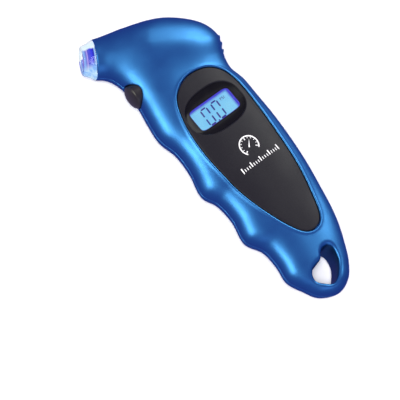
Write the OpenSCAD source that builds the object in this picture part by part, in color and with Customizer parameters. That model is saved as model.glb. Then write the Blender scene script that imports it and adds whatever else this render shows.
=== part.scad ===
// Digital tire pressure gauge: a two-shell body with a lit air nozzle, a press button,
// an inlaid display panel and a pull-off battery door.
// It lies on its back: +Z out of the display, +Y from the tail to the head, +X to the
// right of the display. Modules are drawn about the display, then placed on the box's base.

/* [Body] */
// Thickness of the side walls of both shells
side_wall = 2.2; // [2:0.1:2.4]
// Depth from the outer face to the hollow, front and back
face_wall = 3.2; // [3.1:0.1:3.4]
// Height of the front above the parting plane, as a share of the drawn height
front_gain = 1.0; // [0.97:0.01:1.03]
// Height of the back below the parting plane, as a share of the drawn height
rear_gain = 1.04; // [1.02:0.01:1.06]
// Extra height of the crown along the top of the head
crown = 3; // [2:0.5:3.5]
// Distance from the parting plane down to the flat of the back
back_depth = 11.5; // [11.2:0.1:11.7]

/* [Display panel] */
// Gap between the panel and the edge of its recess
panel_gap = 0.25; // [0.15:0.05:0.3]
// Depth of the panel's face below the body around it
panel_sink = 0.3; // [0.2:0.1:0.5]
// Thickness of the panel
panel_t = 1.7; // [1.5:0.1:1.7]
// Width of the window in the bezel
window_w = 22; // [20.5:0.5:22]
// Height of the window in the bezel
window_h = 10.8; // [10:0.2:10.8]
// Width of the glass cell
glass_w = 26; // [25:0.5:26.5]
// Height of the glass cell
glass_h = 15; // [14.6:0.2:15.2]

/* [Nozzle] */
// Direction that the nozzle points in, in degrees from +X
nozzle_angle = 151.5; // [150:0.5:153]
// Radius of the body's round end, where the nozzle leaves it
nozzle_end_r = 9; // [8.9:0.1:9.1]
// Radius of the mouth that takes the tire valve
mouth_r = 4.2; // [4.1:0.05:4.3]
// How far the clear tip stands out of the body
tip_len = 5.5; // [5:0.5:6]

/* [Button] */
// Width of the button along the wall
button_w = 10.8; // [10.4:0.2:11.2]
// Height of the button, from the back of the gauge to its face
button_h = 12.4; // [12:0.2:13]
// How far the button's dome stands out of the wall
button_proud = 1.9; // [1.5:0.1:2.2]
// Gap round the button
button_gap = 0.3; // [0.25:0.05:0.4]

/* [Battery] */
// Radius of one button cell
cell_r = 5.8; // [5.7:0.1:5.8]
// Height of one button cell
cell_h = 5.4; // [5.2:0.1:5.4]
// Gap round the battery door
door_gap = 0.2; // [0.15:0.05:0.3]

/* [Hidden] */
$fn = 48;
tiny = 0.01;

// Middle of the whole gauge's box, seen from above
box_mid = [-2.15, -17.6];

// Outline of the body in the parting plane, from the tail's tip up both edges to the
// nozzle. The edges are walked in step, so point k of one faces point k of the other.
tail_tip = [-6, -94.5];
finger_edge = [[-13.5, -90.5], [-17.5, -84], [-20.5, -77], [-19.5, -69], [-20, -60.5],
    [-24, -52.5], [-22, -42], [-22.5, -32.5], [-25.5, -25], [-23, -14], [-22.5, -4],
    [-24.5, 5], [-23.5, 14], [-22, 22], [-21.5, 28.5], [-22, 33.5], [-23, 37.5], [-25, 41]];
back_edge = [[1, -92.5], [6.5, -86.5], [10.5, -79], [14, -71], [16.5, -63],
    [18.5, -54], [20.5, -44], [22, -34], [23, -24], [23.5, -14], [23.5, -4],
    [23.5, 5], [22, 12.5], [23.5, 19.5], [27, 28], [23.5, 38], [11.5, 48.5], [-5.5, 55]];
// Half thickness and roundness exponent of the body's section at each pair of points
half_t = [7, 8.6, 9.4, 9.9, 10.3, 10.7, 11.1, 11.4, 11.7, 11.9, 12, 12, 12, 12, 12, 12,
    11.6, 10.6];
roundness = [2.4, 2.5, 2.6, 2.6, 2.6, 2.6, 2.6, 2.6, 2.6, 2.6, 2.6, 2.6, 2.6, 2.6, 2.6,
    2.5, 2.4, 2.2];

// Nozzle axis: centre of the body's round end, direction out and direction across
nozzle_at = [-24.3, 51.4];
nozzle_dir = [cos(nozzle_angle), sin(nozzle_angle)];
nozzle_side = [sin(nozzle_angle), -cos(nozzle_angle)];

// Nozzle seat, seal and pin, along the nozzle's axis from the body's end
seat_r = 6.9;
groove_r = 7.8;
seal_r = 3.9;
seal_top = -4;
seal_t = 2;
pin_seat = -7.2;
led_offset = 4.6;

// Air hose from the nozzle's barb to the sensor's port
hose_bore_r = 1.3;
hose_r = 2.1;
hose_path = [[-11.1, 44.25, 0], [-8.9, 43.05, 0], [-6.7, 41.85, 0], [-4.8, 40.5, 0.3],
    [-3.2, 38.6, 0.9], [-2, 36.4, 1.8], [-1.3, 34, 2.9], [-1, 31.5, 3.8], [-1, 29, 4.3],
    [-1, 27, 4.4], [-1, 24.5, 4.4]];
sensor_at = [-1, 20];
port_z = 4.4;

// Display panel outline, closed, and the display's centre
panel_line = [[1, 18.8], [-6, 16.7], [-11, 11.8], [-14.3, 2.5], [-15.6, -9], [-15.8, -21],
    [-14.7, -33], [-12, -46], [-8.2, -57], [-3.5, -65.2], [2, -67], [7, -63.5], [11, -53],
    [14.5, -39], [16.5, -23], [17.8, -7], [17.9, 4], [15.8, 12], [9.5, 17.2]];
display_at = [1, 0.4];
window_size = [window_w, window_h];
glass_size = [glass_w, glass_h];
scoop_half = [14.2, 10];
scoop_round = 2.5;
bezel_top = 9.5;
bezel_t = 1.4;
lens_t = 0.8;
glass_t = 1.6;
glass_top = bezel_top - bezel_t - lens_t;
board_top = 2.6;
board_t = 1.2;

// Lanyard hole outline, closed
hole_line = [[-12.5, -85], [-12.2, -82], [-10, -79.9], [-5.5, -79], [-3.2, -76.6],
    [-1, -75.5], [1.5, -76], [2.5, -78.5], [1.5, -83], [-1, -86.5], [-4.5, -89.5],
    [-7.8, -90], [-10.8, -87.5]];
hole_wall = 1.8;

// Button and its switch
button_y = 27.4;
button_z = 0.8;
wall_x = -21.6;
switch_z = -1.7;
switch_x = -15.5;
plunger_r = 1.75;
plunger_out = 1.1;
button_play = 0.1;
skirt = 4.15;

// Battery stack, which lies along Y behind the door
stack_x = 15;
stack_y = 20;
door_at = [26.8, 28];
door_angle = 20;
door_half = [8.4, 6.8];
ridge_at = [[24, 20.6], [25.5, 23.6], [26.6, 26.7]];
ridge_angle = [-30, -25, -18];
ridge_w = 1.2;
ridge_h = 0.6;
holder_r = 6.9;

// Screws that join the shells, and screws that hold the board
case_screw_at = [[4, 46], [-17.5, 8], [17.6, -4], [0, -58]];
board_screw_at = [[-10, -20], [10.5, -20], [-9, 16.5]];
// Height of the seat under a case screw's head
screw_seat = -6.6;

// Outline of the main board
board_line = [[-11, -44], [11, -44], [13.5, -40], [13.5, 14.5], [3.5, 16.5], [3.5, 24],
    [-5, 24], [-5, 31], [-16, 31], [-16, 13], [-13.5, 10], [-13.5, -40]];

// ---- curves ----

// Smooth curve through a list of points, whose first and last only set its direction
function spline(p, u) =
    let (i = min(floor(u), len(p) - 4), t = u - i, a = p[i], b = p[i + 1], c = p[i + 2],
        d = p[i + 3])
    (2 * b + (c - a) * t + (2 * a - 5 * b + 4 * c - d) * t * t
        + (3 * b - 3 * c + d - a) * t * t * t) / 2;

// The same curve through a closed list of points
function closed_spline(p, steps) =
    let (n = len(p), q = concat([p[n - 1]], p, [p[0], p[1]]))
    [for (k = [0 : n * steps - 1]) spline(q, k / steps)];

// Round outline whose point k mirrors point count - 1 - k across the first axis
function superellipse(half, n, count) =
    [for (k = [0 : count - 1]) let (a = 360 * (k + 0.5) / count)
        [half[0] * sign(cos(a)) * pow(abs(cos(a)), 2 / n),
            half[1] * sign(sin(a)) * pow(abs(sin(a)), 2 / n)]];

// ---- body surface ----

end_finger = nozzle_at - nozzle_end_r * nozzle_side;
end_back = nozzle_at + nozzle_end_r * nozzle_side;
finger_ctrl = concat([back_edge[0], tail_tip], finger_edge,
    [end_finger, end_finger + 6 * nozzle_dir]);
back_ctrl = concat([finger_edge[0], tail_tip], back_edge,
    [end_back, end_back + 12 * nozzle_dir]);
half_ctrl = concat([-half_t[0], 0], half_t, [nozzle_end_r, nozzle_end_r]);
round_ctrl = concat([roundness[0], roundness[0]], roundness, [2, 2]);
u_end = len(finger_edge) + 1;

// Height that the head's crown adds over a point p
function crown_at(p) =
    let (d = p - nozzle_at, along = -d * nozzle_dir, across = -d * nozzle_side,
        s = max(0, min(1, (along - 2) / 22)), e = max(0, across) / 9)
    crown * s * s * (3 - 2 * s) * exp(-e * e);

// Point of the body's skin: u along the body, v from the finger edge (0) over the face to
// the back edge (180), moved in by side and top; up is 1 for the front and -1 for the back
function skin(u, v, side, top, up) =
    let (a = spline(finger_ctrl, u), b = spline(back_ctrl, u), n = spline(round_ctrl, u),
        half = (b - a) / 2, reach = max(norm(half) - side, 0.2) / norm(half),
        across = -sign(cos(v)) * pow(abs(cos(v)), 2 / n),
        p = (a + b) / 2 + across * reach * half,
        gain = up > 0 ? front_gain : rear_gain,
        t = gain * spline(half_ctrl, u) + (up > 0 ? crown_at(p) : 0) - top)
    [p[0], p[1], up * pow(abs(sin(v)), 2 / n) * max(t, 0.3)];

// Solid through a stack of rings that all have the same even number of points
module loft(rings) {
    m = len(rings[0]);
    last = len(rings) - 1;
    side = [for (i = [0 : last - 1]) for (j = [0 : m - 1]) let (k = (j + 1) % m)
        each [[i * m + j, (i + 1) * m + k, i * m + k],
            [i * m + j, (i + 1) * m + j, (i + 1) * m + k]]];
    first_cap = [for (j = [0 : m / 2 - 2])
        each [[j, m - 2 - j, m - 1 - j], [j, j + 1, m - 2 - j]]];
    last_cap = [for (f = first_cap) [for (k = [2 : -1 : 0]) f[k] + last * m]];
    polyhedron([for (r = rings) each r], concat(side, first_cap, last_cap));
}

// Half of the body, on one side of the parting plane
module half_body(up, side, top, u0, u1, rows, columns) {
    arc = [for (j = [0 : columns]) 180 * j / columns];
    walk = up > 0 ? arc : [for (j = [columns : -1 : 0]) arc[j]];
    loft([for (i = [0 : rows])
        [for (v = walk) skin(u0 + (u1 - u0) * i / rows, v, side, top, up)]]);
}

// Layer of the front skin over the panel, from high to low below the outer face
module face_layer(high, low) {
    rows = 40;
    over = [for (j = [0 : 13]) 28 + 124 * j / 13];
    loft([for (i = [0 : rows]) let (u = 3.9 + 10.4 * i / rows)
        concat([for (v = over) skin(u, v, 0, high, 1)],
            [for (j = [13 : -1 : 0]) skin(u, over[j], 0, low, 1)])]);
}

// Layer of the wall on the head's back edge, from outer to inner
module door_layer(outer, inner) {
    rows = 18;
    arc = [for (j = [0 : 7]) 132 + 48 * j / 7];
    loft([for (i = [0 : rows]) let (u = 13.2 + 3.2 * i / rows)
        concat([for (v = arc) skin(u, v, outer[0], outer[1], 1)],
            [for (j = [6 : -1 : 0]) skin(u, arc[j], outer[0], outer[1], -1)],
            [for (j = [0 : 6]) skin(u, arc[j], inner[0], inner[1], -1)],
            [for (j = [7 : -1 : 0]) skin(u, arc[j], inner[0], inner[1], 1)])]);
}

// ---- helpers ----

// Puts a child, drawn along +Z, on the nozzle's axis with +Z pointing out
module on_nozzle() {
    translate([nozzle_at[0], nozzle_at[1], 0]) rotate([0, 90, nozzle_angle]) children();
}

// Puts a child on the battery door, drawn with +X pointing out of the wall
module on_door() {
    translate([door_at[0], door_at[1], 0]) rotate([0, 0, door_angle]) children();
}

// Box given by its centre in plan, its size in plan and its two heights
module slab(at, size, z0, z1) {
    translate([at[0] - size[0] / 2, at[1] - size[1] / 2, z0])
        cube([size[0], size[1], z1 - z0]);
}

// Upright prism over an outline, between two heights
module prism(outline, z0, z1) {
    translate([0, 0, z0]) linear_extrude(z1 - z0) polygon(outline);
}

module rod(r, z0, z1) {
    translate([0, 0, z0]) cylinder(r = r, h = z1 - z0);
}

function scoop_line(gap) =
    [for (p = superellipse(scoop_half - [gap, gap], scoop_round, 48)) p + display_at];

// The panel's outline, grown outwards by a gap
module panel_outline(gap) {
    offset(delta = gap) polygon(closed_spline(panel_line, 4));
}

// Tube swept along a list of points
module sweep(path, r, sides) {
    n = len(path) - 1;
    loft([for (i = [0 : n])
        let (d = path[min(i + 1, n)] - path[max(i - 1, 0)], t = d / norm(d),
            c = cross(t, [0.2, 0.1, 1]), a = c / norm(c), b = cross(t, a))
        [for (j = [0 : sides - 1]) let (w = 360 * j / sides)
            path[i] + r * (cos(w) * a + sin(w) * b)]]);
}

// ---- shells ----

module button_opening() {
    translate([-30, button_y, button_z]) rotate([90, 0, 90]) linear_extrude(17)
        polygon(superellipse([button_w, button_h] / 2 + [button_gap, button_gap], 2, 40));
}

// Prism through the wall along the door's way out
module door_prism(gap, depth) {
    on_door() translate([-depth, 0, 0]) rotate([90, 0, 90]) linear_extrude(depth + 6)
        polygon(superellipse(door_half + [gap, gap], 6, 40));
}

// Seat of the nozzle: a bore with a groove for the nozzle's flange
module nozzle_seat() {
    on_nozzle() union() {
        rod(seat_r, -14, 2);
        rod(groove_r, -12.6, -10.9);
    }
}

// Openings that both shells share
module shell_openings() {
    prism(closed_spline(hole_line, 3), -20, 20);
    button_opening();
    door_prism(door_gap, 13);
    nozzle_seat();
}

// Wall round the lanyard hole
module hole_tube() {
    translate([0, 0, -20]) linear_extrude(40) offset(delta = hole_wall)
        polygon(closed_spline(hole_line, 3));
}

module front_hollow() {
    difference() {
        half_body(1, side_wall, face_wall, 1, u_end + tiny, 54, 15);
        hole_tube();
        for (p = case_screw_at) translate(p) rod(3, -1, 20);
        for (p = board_screw_at) translate(p) rod(2.4, board_top + 0.05, 20);
        slab(display_at, [34, 25], 5.2, 20);
    }
}

module front_shell() {
    color([0.10, 0.38, 0.80]) difference() {
        half_body(1, 0, 0, 0.15, u_end, 76, 21);
        front_hollow();
        shell_openings();
        intersection() {
            face_layer(-2, panel_sink + panel_t + 0.05);
            linear_extrude(20) panel_outline(panel_gap);
        }
        prism(scoop_line(0), bezel_top - bezel_t, 20);
        slab(display_at, window_size + [2.7, 2.8], glass_top, 20);
        slab(display_at, glass_size + [0.4, 0.4], 0, glass_top);
        for (p = case_screw_at) translate(p) rod(1.3, -1, 5.8);
        for (p = board_screw_at) translate(p) rod(1, 0, 6.3);
    }
}

module rear_hollow() {
    difference() {
        half_body(-1, side_wall, face_wall, 1, u_end + tiny, 54, 15);
        hole_tube();
        for (p = case_screw_at) translate(p) rod(4.2, -20, 1);
        // saddles that the battery holder stands on
        for (y = [22, 34]) slab([stack_x, y], [11, 2], -20, -holder_r - 0.05);
    }
}

module rear_shell() {
    color([0.10, 0.38, 0.80]) difference() {
        half_body(-1, 0, 0, 0.15, u_end, 76, 21);
        rear_hollow();
        shell_openings();
        slab([0, 0], [200, 300], -20, -back_depth);
        for (p = case_screw_at) translate(p) {
            rod(1.5, -20, 1);
            rod(3.1, -20, screw_seat);
        }
    }
}

// ---- display ----

module face_panel() {
    color([0.17, 0.17, 0.18]) difference() {
        intersection() {
            face_layer(panel_sink, panel_sink + panel_t);
            linear_extrude(20) panel_outline(0);
        }
        prism(scoop_line(0), 0, 20);
    }
}

module display_bezel() {
    color([0.03, 0.03, 0.04]) difference() {
        prism(scoop_line(0.2), bezel_top - bezel_t, bezel_top);
        slab(display_at, window_size, 0, 20);
    }
}

module display_lens() {
    color([0.75, 0.92, 1.0, 0.4])
        slab(display_at, window_size + [2.5, 2.6], glass_top, glass_top + lens_t);
}

module lcd_glass() {
    color([0.45, 0.82, 1.0]) union() {
        slab(display_at, glass_size, glass_top - glass_t, glass_top - glass_t / 2);
        slab(display_at + [0, 1.2], glass_size - [0, 2.4], glass_top - glass_t / 2, glass_top);
    }
}

module backlight_plate() {
    color([0.93, 0.96, 1.0])
        slab(display_at + [0, 1.3], glass_size - [0, 2.6], board_top, glass_top - glass_t);
}

module zebra_strip() {
    color([0.75, 0.60, 0.65])
        slab(display_at - [0, 6.6], [24, 1.8], board_top, glass_top - glass_t);
}

// ---- electronics ----

module main_board() {
    color([0.05, 0.35, 0.18]) difference() {
        prism(board_line, board_top - board_t, board_top);
        for (p = board_screw_at) translate(p) rod(1.2, 0, 5);
    }
}

module controller_chip() {
    color([0.05, 0.05, 0.06]) translate([0, -30, board_top]) rotate_extrude()
        polygon([[0, 0], [5.5, 0], [5.2, 0.5], [4.2, 1.1], [2.6, 1.5], [0, 1.6]]);
}

module chip_components() {
    color([0.55, 0.45, 0.30]) for (k = [0 : 3]) {
        slab([-8 + 5 * k, -14.5], [2, 1.2], board_top, board_top + 0.7);
        slab([-9, -38 + 3 * k], [1.2, 2], board_top, board_top + 0.7);
    }
}

module pressure_sensor() {
    color([0.85, 0.85, 0.82]) difference() {
        union() {
            slab(sensor_at, [7, 7], board_top, board_top + 1);
            slab(sensor_at, [6, 6], board_top + 1, board_top + 3.4);
            translate([sensor_at[0], sensor_at[1] + 2, port_z]) rotate([-90, 0, 0])
                rod(hose_bore_r, 0, 6);
        }
        translate([sensor_at[0], sensor_at[1] + 1, port_z]) rotate([-90, 0, 0])
            rod(0.6, 0, 8);
    }
}

// ---- button and switch ----

// Ring of the button's skin: share s of the outline, dx in from the wall's face
function button_ring(s, dx) =
    [for (p = superellipse([button_h, button_w] * s / 2, 2, 32))
        [wall_x + dx, button_y + p[1], button_z + p[0]]];

module power_button() {
    color([0.03, 0.03, 0.035]) union() {
        loft(concat([button_ring(1, skirt)], [for (a = [0 : 12 : 84])
            button_ring(cos(a), -button_proud * sin(a))]));
        // tabs behind the wall that keep the button in
        slab([wall_x + 3.8, button_y], [0.7, button_w + 2.6], -3, 3);
        translate([0, button_y, switch_z]) rotate([0, 90, 0])
            rod(2, wall_x + 3, switch_x - plunger_out - button_play);
    }
}

module button_switch() {
    color([0.12, 0.12, 0.13]) difference() {
        slab([switch_x + 1.8, button_y], [3.6, 6.2], switch_z - 3.1, board_top - board_t);
        translate([switch_x, button_y, switch_z]) rotate([0, 90, 0])
            rod(plunger_r + 0.05, -1, 2.2);
    }
}

module switch_plunger() {
    color([0.85, 0.80, 0.65]) translate([switch_x, button_y, switch_z]) rotate([0, 90, 0])
        rod(plunger_r, -plunger_out, 1.4);
}

// ---- nozzle and air path ----

// Profile of the nozzle's outside: the clear tip, the neck, the flange and the hose barb
nozzle_profile = [[0, tip_len], [5.4, tip_len], [6.1, tip_len - 0.3], [6.6, tip_len - 0.9],
    [7.9, 1.8], [8.8, 0.05], [6.8, 0.05], [6.8, -11], [7.6, -11], [7.6, -12.5], [2.6, -12.5],
    [2.6, -14], [hose_bore_r, -14], [hose_bore_r, -20], [0, -20]];

module nozzle() {
    color([0.80, 0.92, 1.0, 0.45]) on_nozzle() difference() {
        rotate_extrude() polygon(nozzle_profile);
        rod(mouth_r, seal_top, tip_len + 1);
        translate([0, 0, tip_len - 0.6]) cylinder(r1 = mouth_r, r2 = mouth_r + 0.7, h = 0.7);
        rod(seal_r, seal_top - seal_t, tip_len);
        rod(3.5, pin_seat, tip_len);
        rod(2.5, -9, tip_len);
        rod(0.7, -21, tip_len);
        translate([-led_offset, 0, 0]) rod(1.6, -13, -9.6);
    }
}

module valve_seal() {
    color([0.08, 0.08, 0.09]) on_nozzle() difference() {
        rod(seal_r - 0.02, seal_top - seal_t, seal_top);
        rod(1.9, -10, 0);
    }
}

module depressor_pin() {
    color([0.85, 0.68, 0.30]) on_nozzle() difference() {
        union() {
            rod(3.45, pin_seat, seal_top - seal_t);
            rod(0.9, pin_seat, seal_top - 0.3);
        }
        for (k = [0 : 2]) rotate(120 * k) translate([2.1, 0, 0]) rod(0.45, -20, 0);
    }
}

module nozzle_led() {
    color([0.75, 0.85, 1.0]) on_nozzle() translate([-led_offset, 0, 0]) union() {
        rod(1.5, -13.2, -11.2);
        translate([0, 0, -11.2]) sphere(r = 1.5);
        rod(1.9, -14, -13.2);
        for (side = [-1, 1]) translate([0, 0.75 * side, 0]) rod(0.25, -19, -14);
    }
}

module air_hose() {
    color([0.90, 0.90, 0.88]) difference() {
        sweep(hose_path, hose_r, 12);
        sweep(concat([2 * hose_path[0] - hose_path[1]], hose_path,
            [hose_path[len(hose_path) - 1] - [0, 1, 0]]), hose_bore_r, 12);
    }
}

module hose_clips() {
    color([0.75, 0.75, 0.77]) {
        on_nozzle() clip_ring(-18);
        translate([sensor_at[0], sensor_at[1] + 6, port_z]) rotate([-90, 0, 0]) clip_ring(0);
    }
}

module clip_ring(z) {
    difference() {
        rod(hose_r + 0.6, z - 0.8, z + 0.8);
        rod(hose_r, z - 1, z + 1);
    }
}

// ---- battery ----

// Puts a child, drawn along +Z, on the axis of the battery stack with +Z along +Y
module on_stack() {
    translate([stack_x, stack_y, 0]) rotate([-90, 0, 0]) children();
}

module battery_holder() {
    color([0.10, 0.10, 0.11]) difference() {
        on_stack() rod(holder_r, -2.1, 3 * cell_h + 1.3);
        on_stack() rod(cell_r + 0.25, -1.3, 3 * cell_h + 0.5);
        // open towards the door
        slab([stack_x + 12, stack_y + 8], [20, 30], -10, 10);
        // slots for the contacts' tabs
        slab([stack_x - 7, stack_y - 1], [4, 0.5], -1.6, 1.6);
        slab([stack_x - 7, stack_y + 3 * cell_h + 0.2], [4, 0.5], -1.6, 1.6);
    }
}

module coin_cell(place) {
    color([0.80, 0.80, 0.82]) on_stack() translate([0, 0, place * cell_h]) rotate_extrude()
        polygon([[0, 0.05], [4.8, 0.05], [4.8, 0.35], [cell_r - 0.3, 0.35], [cell_r, 0.65],
            [cell_r, cell_h - 0.35], [cell_r - 0.3, cell_h - 0.05], [0, cell_h - 0.05]]);
}

module coin_cell_1() {
    coin_cell(0);
}

module coin_cell_2() {
    coin_cell(1);
}

module coin_cell_3() {
    coin_cell(2);
}

module positive_contact() {
    color([0.82, 0.80, 0.70]) union() {
        slab([stack_x - 1, stack_y + 3 * cell_h + 0.2], [8, 0.3], -3.5, 3.5);
        slab([stack_x - 6, stack_y + 3 * cell_h + 0.2], [4, 0.3], -1.5, 1.5);
    }
}

module negative_contact() {
    color([0.82, 0.80, 0.70]) translate([0, 0, -3]) union() {
        linear_extrude(6) translate([stack_x, stack_y]) polygon([[-5, -1.2], [3, -1.2],
            [3, -0.9], [2.2, -0.9], [-1, -0.05], [-3, -0.05], [-3, -0.35], [-1, -0.35],
            [1, -0.9], [-5, -0.9]]);
        translate([0, 0, 1.5]) slab([stack_x - 6.5, stack_y - 1.05], [3, 0.3], 0, 3);
    }
}

module positive_lead() {
    color([0.75, 0.10, 0.08]) sweep([[6.9, 36.4, 0], [5.4, 34.5, 0], [4.8, 31, -0.5],
        [4.6, 26, -0.5], [4.5, 21, -0.2], [4.5, 17, 0.3], [4.7, 14, 0.9]], 0.5, 8);
}

module negative_lead() {
    color([0.06, 0.06, 0.07]) sweep([[6.4, 18.95, 0], [6.2, 17, 0], [7.2, 15, 0.3],
        [8.4, 13, 0.6], [9, 11, 0.9]], 0.5, 8);
}

module battery_door() {
    color([0.09, 0.34, 0.74]) union() {
        intersection() {
            door_layer([0, 0], [side_wall, face_wall]);
            door_prism(0, 13);
        }
        intersection() {
            door_layer([-ridge_h, -ridge_h], [1, 1]);
            for (k = [0 : 2]) translate([ridge_at[k][0], ridge_at[k][1], 0])
                rotate([0, 0, ridge_angle[k]]) slab([0, 0], [6, ridge_w], -5.6, 5.6);
        }
    }
}

// ---- screws ----

module case_screws() {
    color([0.45, 0.45, 0.47]) for (p = case_screw_at) translate(p) difference() {
        union() {
            rod(2.6, screw_seat - 1.9, screw_seat);
            rod(1.25, screw_seat, 4.8);
        }
        cross_slot(screw_seat - 1.9, 0.9);
    }
}

module board_screws() {
    color([0.70, 0.70, 0.72]) for (p = board_screw_at) translate(p) difference() {
        union() {
            rod(1.9, board_top - board_t - 1.2, board_top - board_t);
            rod(0.95, board_top - board_t, 5.8);
        }
        cross_slot(board_top - board_t - 1.2, 0.6);
    }
}

// Cross recess in a screw head whose face is at height z
module cross_slot(z, depth) {
    for (a = [0, 90]) rotate([0, 0, a]) slab([0, 0], [2.2, 0.6], z - 1, z + depth);
}

// Draws one node in the gauge's own frame
module placed() {
    translate([-box_mid[0], -box_mid[1], back_depth]) children();
}

placed() front_shell();
placed() rear_shell();
placed() face_panel();
placed() display_bezel();
placed() display_lens();
placed() lcd_glass();
placed() backlight_plate();
placed() zebra_strip();
placed() main_board();
placed() controller_chip();
placed() chip_components();
placed() pressure_sensor();
placed() button_switch();
placed() switch_plunger();
placed() power_button();
placed() nozzle();
placed() valve_seal();
placed() depressor_pin();
placed() nozzle_led();
placed() air_hose();
placed() hose_clips();
placed() battery_holder();
placed() coin_cell_1();
placed() coin_cell_2();
placed() coin_cell_3();
placed() positive_contact();
placed() negative_contact();
placed() positive_lead();
placed() negative_lead();
placed() battery_door();
placed() case_screws();
placed() board_screws();
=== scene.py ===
"""Looks of a digital tire pressure gauge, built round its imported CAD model.

Lengths are in millimetres in the gauge's own drawing frame, whose origin lies under the
display on the parting plane. to_frame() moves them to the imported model's frame.
"""

import math

import bmesh
import bpy
import numpy as np
from mathutils import Matrix, Vector, geometry


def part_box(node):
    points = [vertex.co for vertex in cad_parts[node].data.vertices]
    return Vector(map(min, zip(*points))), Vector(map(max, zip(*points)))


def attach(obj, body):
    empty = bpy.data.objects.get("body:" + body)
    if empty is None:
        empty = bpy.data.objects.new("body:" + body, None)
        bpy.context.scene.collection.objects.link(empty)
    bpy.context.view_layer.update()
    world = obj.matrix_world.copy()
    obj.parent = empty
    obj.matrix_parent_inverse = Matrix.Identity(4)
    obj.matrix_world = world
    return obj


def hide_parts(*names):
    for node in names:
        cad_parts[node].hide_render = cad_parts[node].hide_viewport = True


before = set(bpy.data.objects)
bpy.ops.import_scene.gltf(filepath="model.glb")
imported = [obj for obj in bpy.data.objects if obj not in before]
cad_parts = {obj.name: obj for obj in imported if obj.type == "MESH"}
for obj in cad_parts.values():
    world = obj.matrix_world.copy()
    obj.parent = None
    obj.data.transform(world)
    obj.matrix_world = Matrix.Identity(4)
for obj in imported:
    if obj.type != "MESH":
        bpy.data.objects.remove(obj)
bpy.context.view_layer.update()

MM = 0.001

# ---- sizes of the gauge, in millimetres ----

SIDE_WALL = 2.2
FACE_WALL = 3.2
REAR_GAIN = 1.04
CROWN = 3.0
CROWN_START = 2
CROWN_LEN = 22
CROWN_SIDE = 9
BACK_DEPTH = 11.5

TAIL_TIP = (-6, -94.5)
FINGER_EDGE = [
    (-13.5, -90.5), (-17.5, -84), (-20.5, -77), (-19.5, -69), (-20, -60.5), (-24, -52.5),
    (-22, -42), (-22.5, -32.5), (-25.5, -25), (-23, -14), (-22.5, -4), (-24.5, 5),
    (-23.5, 14), (-22, 22), (-21.5, 28.5), (-22, 33.5), (-23, 37.5), (-25, 41),
]
BACK_EDGE = [
    (1, -92.5), (6.5, -86.5), (10.5, -79), (14, -71), (16.5, -63), (18.5, -54),
    (20.5, -44), (22, -34), (23, -24), (23.5, -14), (23.5, -4), (23.5, 5),
    (22, 12.5), (23.5, 19.5), (27, 28), (23.5, 38), (11.5, 48.5), (-5.5, 55),
]
HALF_T = [7, 8.6, 9.4, 9.9, 10.3, 10.7, 11.1, 11.4, 11.7, 11.9, 12, 12, 12, 12, 12, 12, 11.6, 10.6]
ROUNDNESS = [2.4, 2.5] + [2.6] * 13 + [2.5, 2.4, 2.2]

NOZZLE_AT = np.array([-24.3, 51.4])
NOZZLE_ANGLE = math.radians(151.5)
NOZZLE_DIR = np.array([math.cos(NOZZLE_ANGLE), math.sin(NOZZLE_ANGLE)])
NOZZLE_SIDE = np.array([math.sin(NOZZLE_ANGLE), -math.cos(NOZZLE_ANGLE)])
NOZZLE_END_R = 9.0
TIP_LEN = 5.5
MOUTH_R = 4.2

PANEL_LINE = [
    (1, 18.8), (-6, 16.7), (-11, 11.8), (-14.3, 2.5), (-15.6, -9), (-15.8, -21), (-14.7, -33),
    (-12, -46), (-8.2, -57), (-3.5, -65.2), (2, -67), (7, -63.5), (11, -53), (14.5, -39),
    (16.5, -23), (17.8, -7), (17.9, 4), (15.8, 12), (9.5, 17.2),
]
PANEL_GAP = 0.25
PANEL_SINK = 0.3
PANEL_T = 1.7
HOLE_LINE = [
    (-12.5, -85), (-12.2, -82), (-10, -79.9), (-5.5, -79), (-3.2, -76.6), (-1, -75.5),
    (1.5, -76), (2.5, -78.5), (1.5, -83), (-1, -86.5), (-4.5, -89.5), (-7.8, -90),
    (-10.8, -87.5),
]
HOLE_WALL = 1.8
BORE_NEAR = 0.03

DISPLAY_AT = np.array([1, 0.4])
WINDOW = (22, 10.8)
WINDOW_HALF = np.array(WINDOW) / 2
GLASS = (26, 15)
SCOOP_HALF = np.array([14.2, 10])
SCOOP_ROUND = 2.5
BEZEL_TOP = 9.5
BEZEL_T = 1.4
LENS_T = 0.8
GLASS_TOP = BEZEL_TOP - BEZEL_T - LENS_T
BOARD_TOP = 2.6

BUTTON_Y = 27.4
BUTTON_Z = 0.8
BUTTON_W = 10.8
BUTTON_H = 12.4
BUTTON_PROUD = 1.9
BUTTON_GAP = 0.3
BUTTON_OPENING = np.array([BUTTON_W, BUTTON_H]) / 2 + BUTTON_GAP
SKIRT = 4.15
WALL_X = -21.6
SWITCH_X = -15.5
SWITCH_Z = -1.7

STACK = (15, 20)
HOLDER_R = 6.9
DOOR_AT = np.array([26.8, 28])
DOOR_ANGLE = math.radians(20)
DOOR_OUT = np.array([math.cos(DOOR_ANGLE), math.sin(DOOR_ANGLE)])
DOOR_ALONG = np.array([-math.sin(DOOR_ANGLE), math.cos(DOOR_ANGLE)])
DOOR_HALF = np.array([8.4, 6.8])
DOOR_ROUND = 6
DOOR_GAP = 0.2
DOOR_OPENING = DOOR_HALF + DOOR_GAP
RIDGE_AT = [(24, 20.6), (25.5, 23.6), (26.6, 26.7)]
RIDGE_ANGLE = [-30, -25, -18]
RIDGE_W = 1.2
RIDGE_H = 0.6

CASE_SCREWS = [(4, 46), (-17.5, 8), (17.6, -4), (0, -58)]
BOARD_SCREWS = [(-10, -20), (10.5, -20), (-9, 16.5)]
SCREW_SEAT = -6.6

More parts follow.
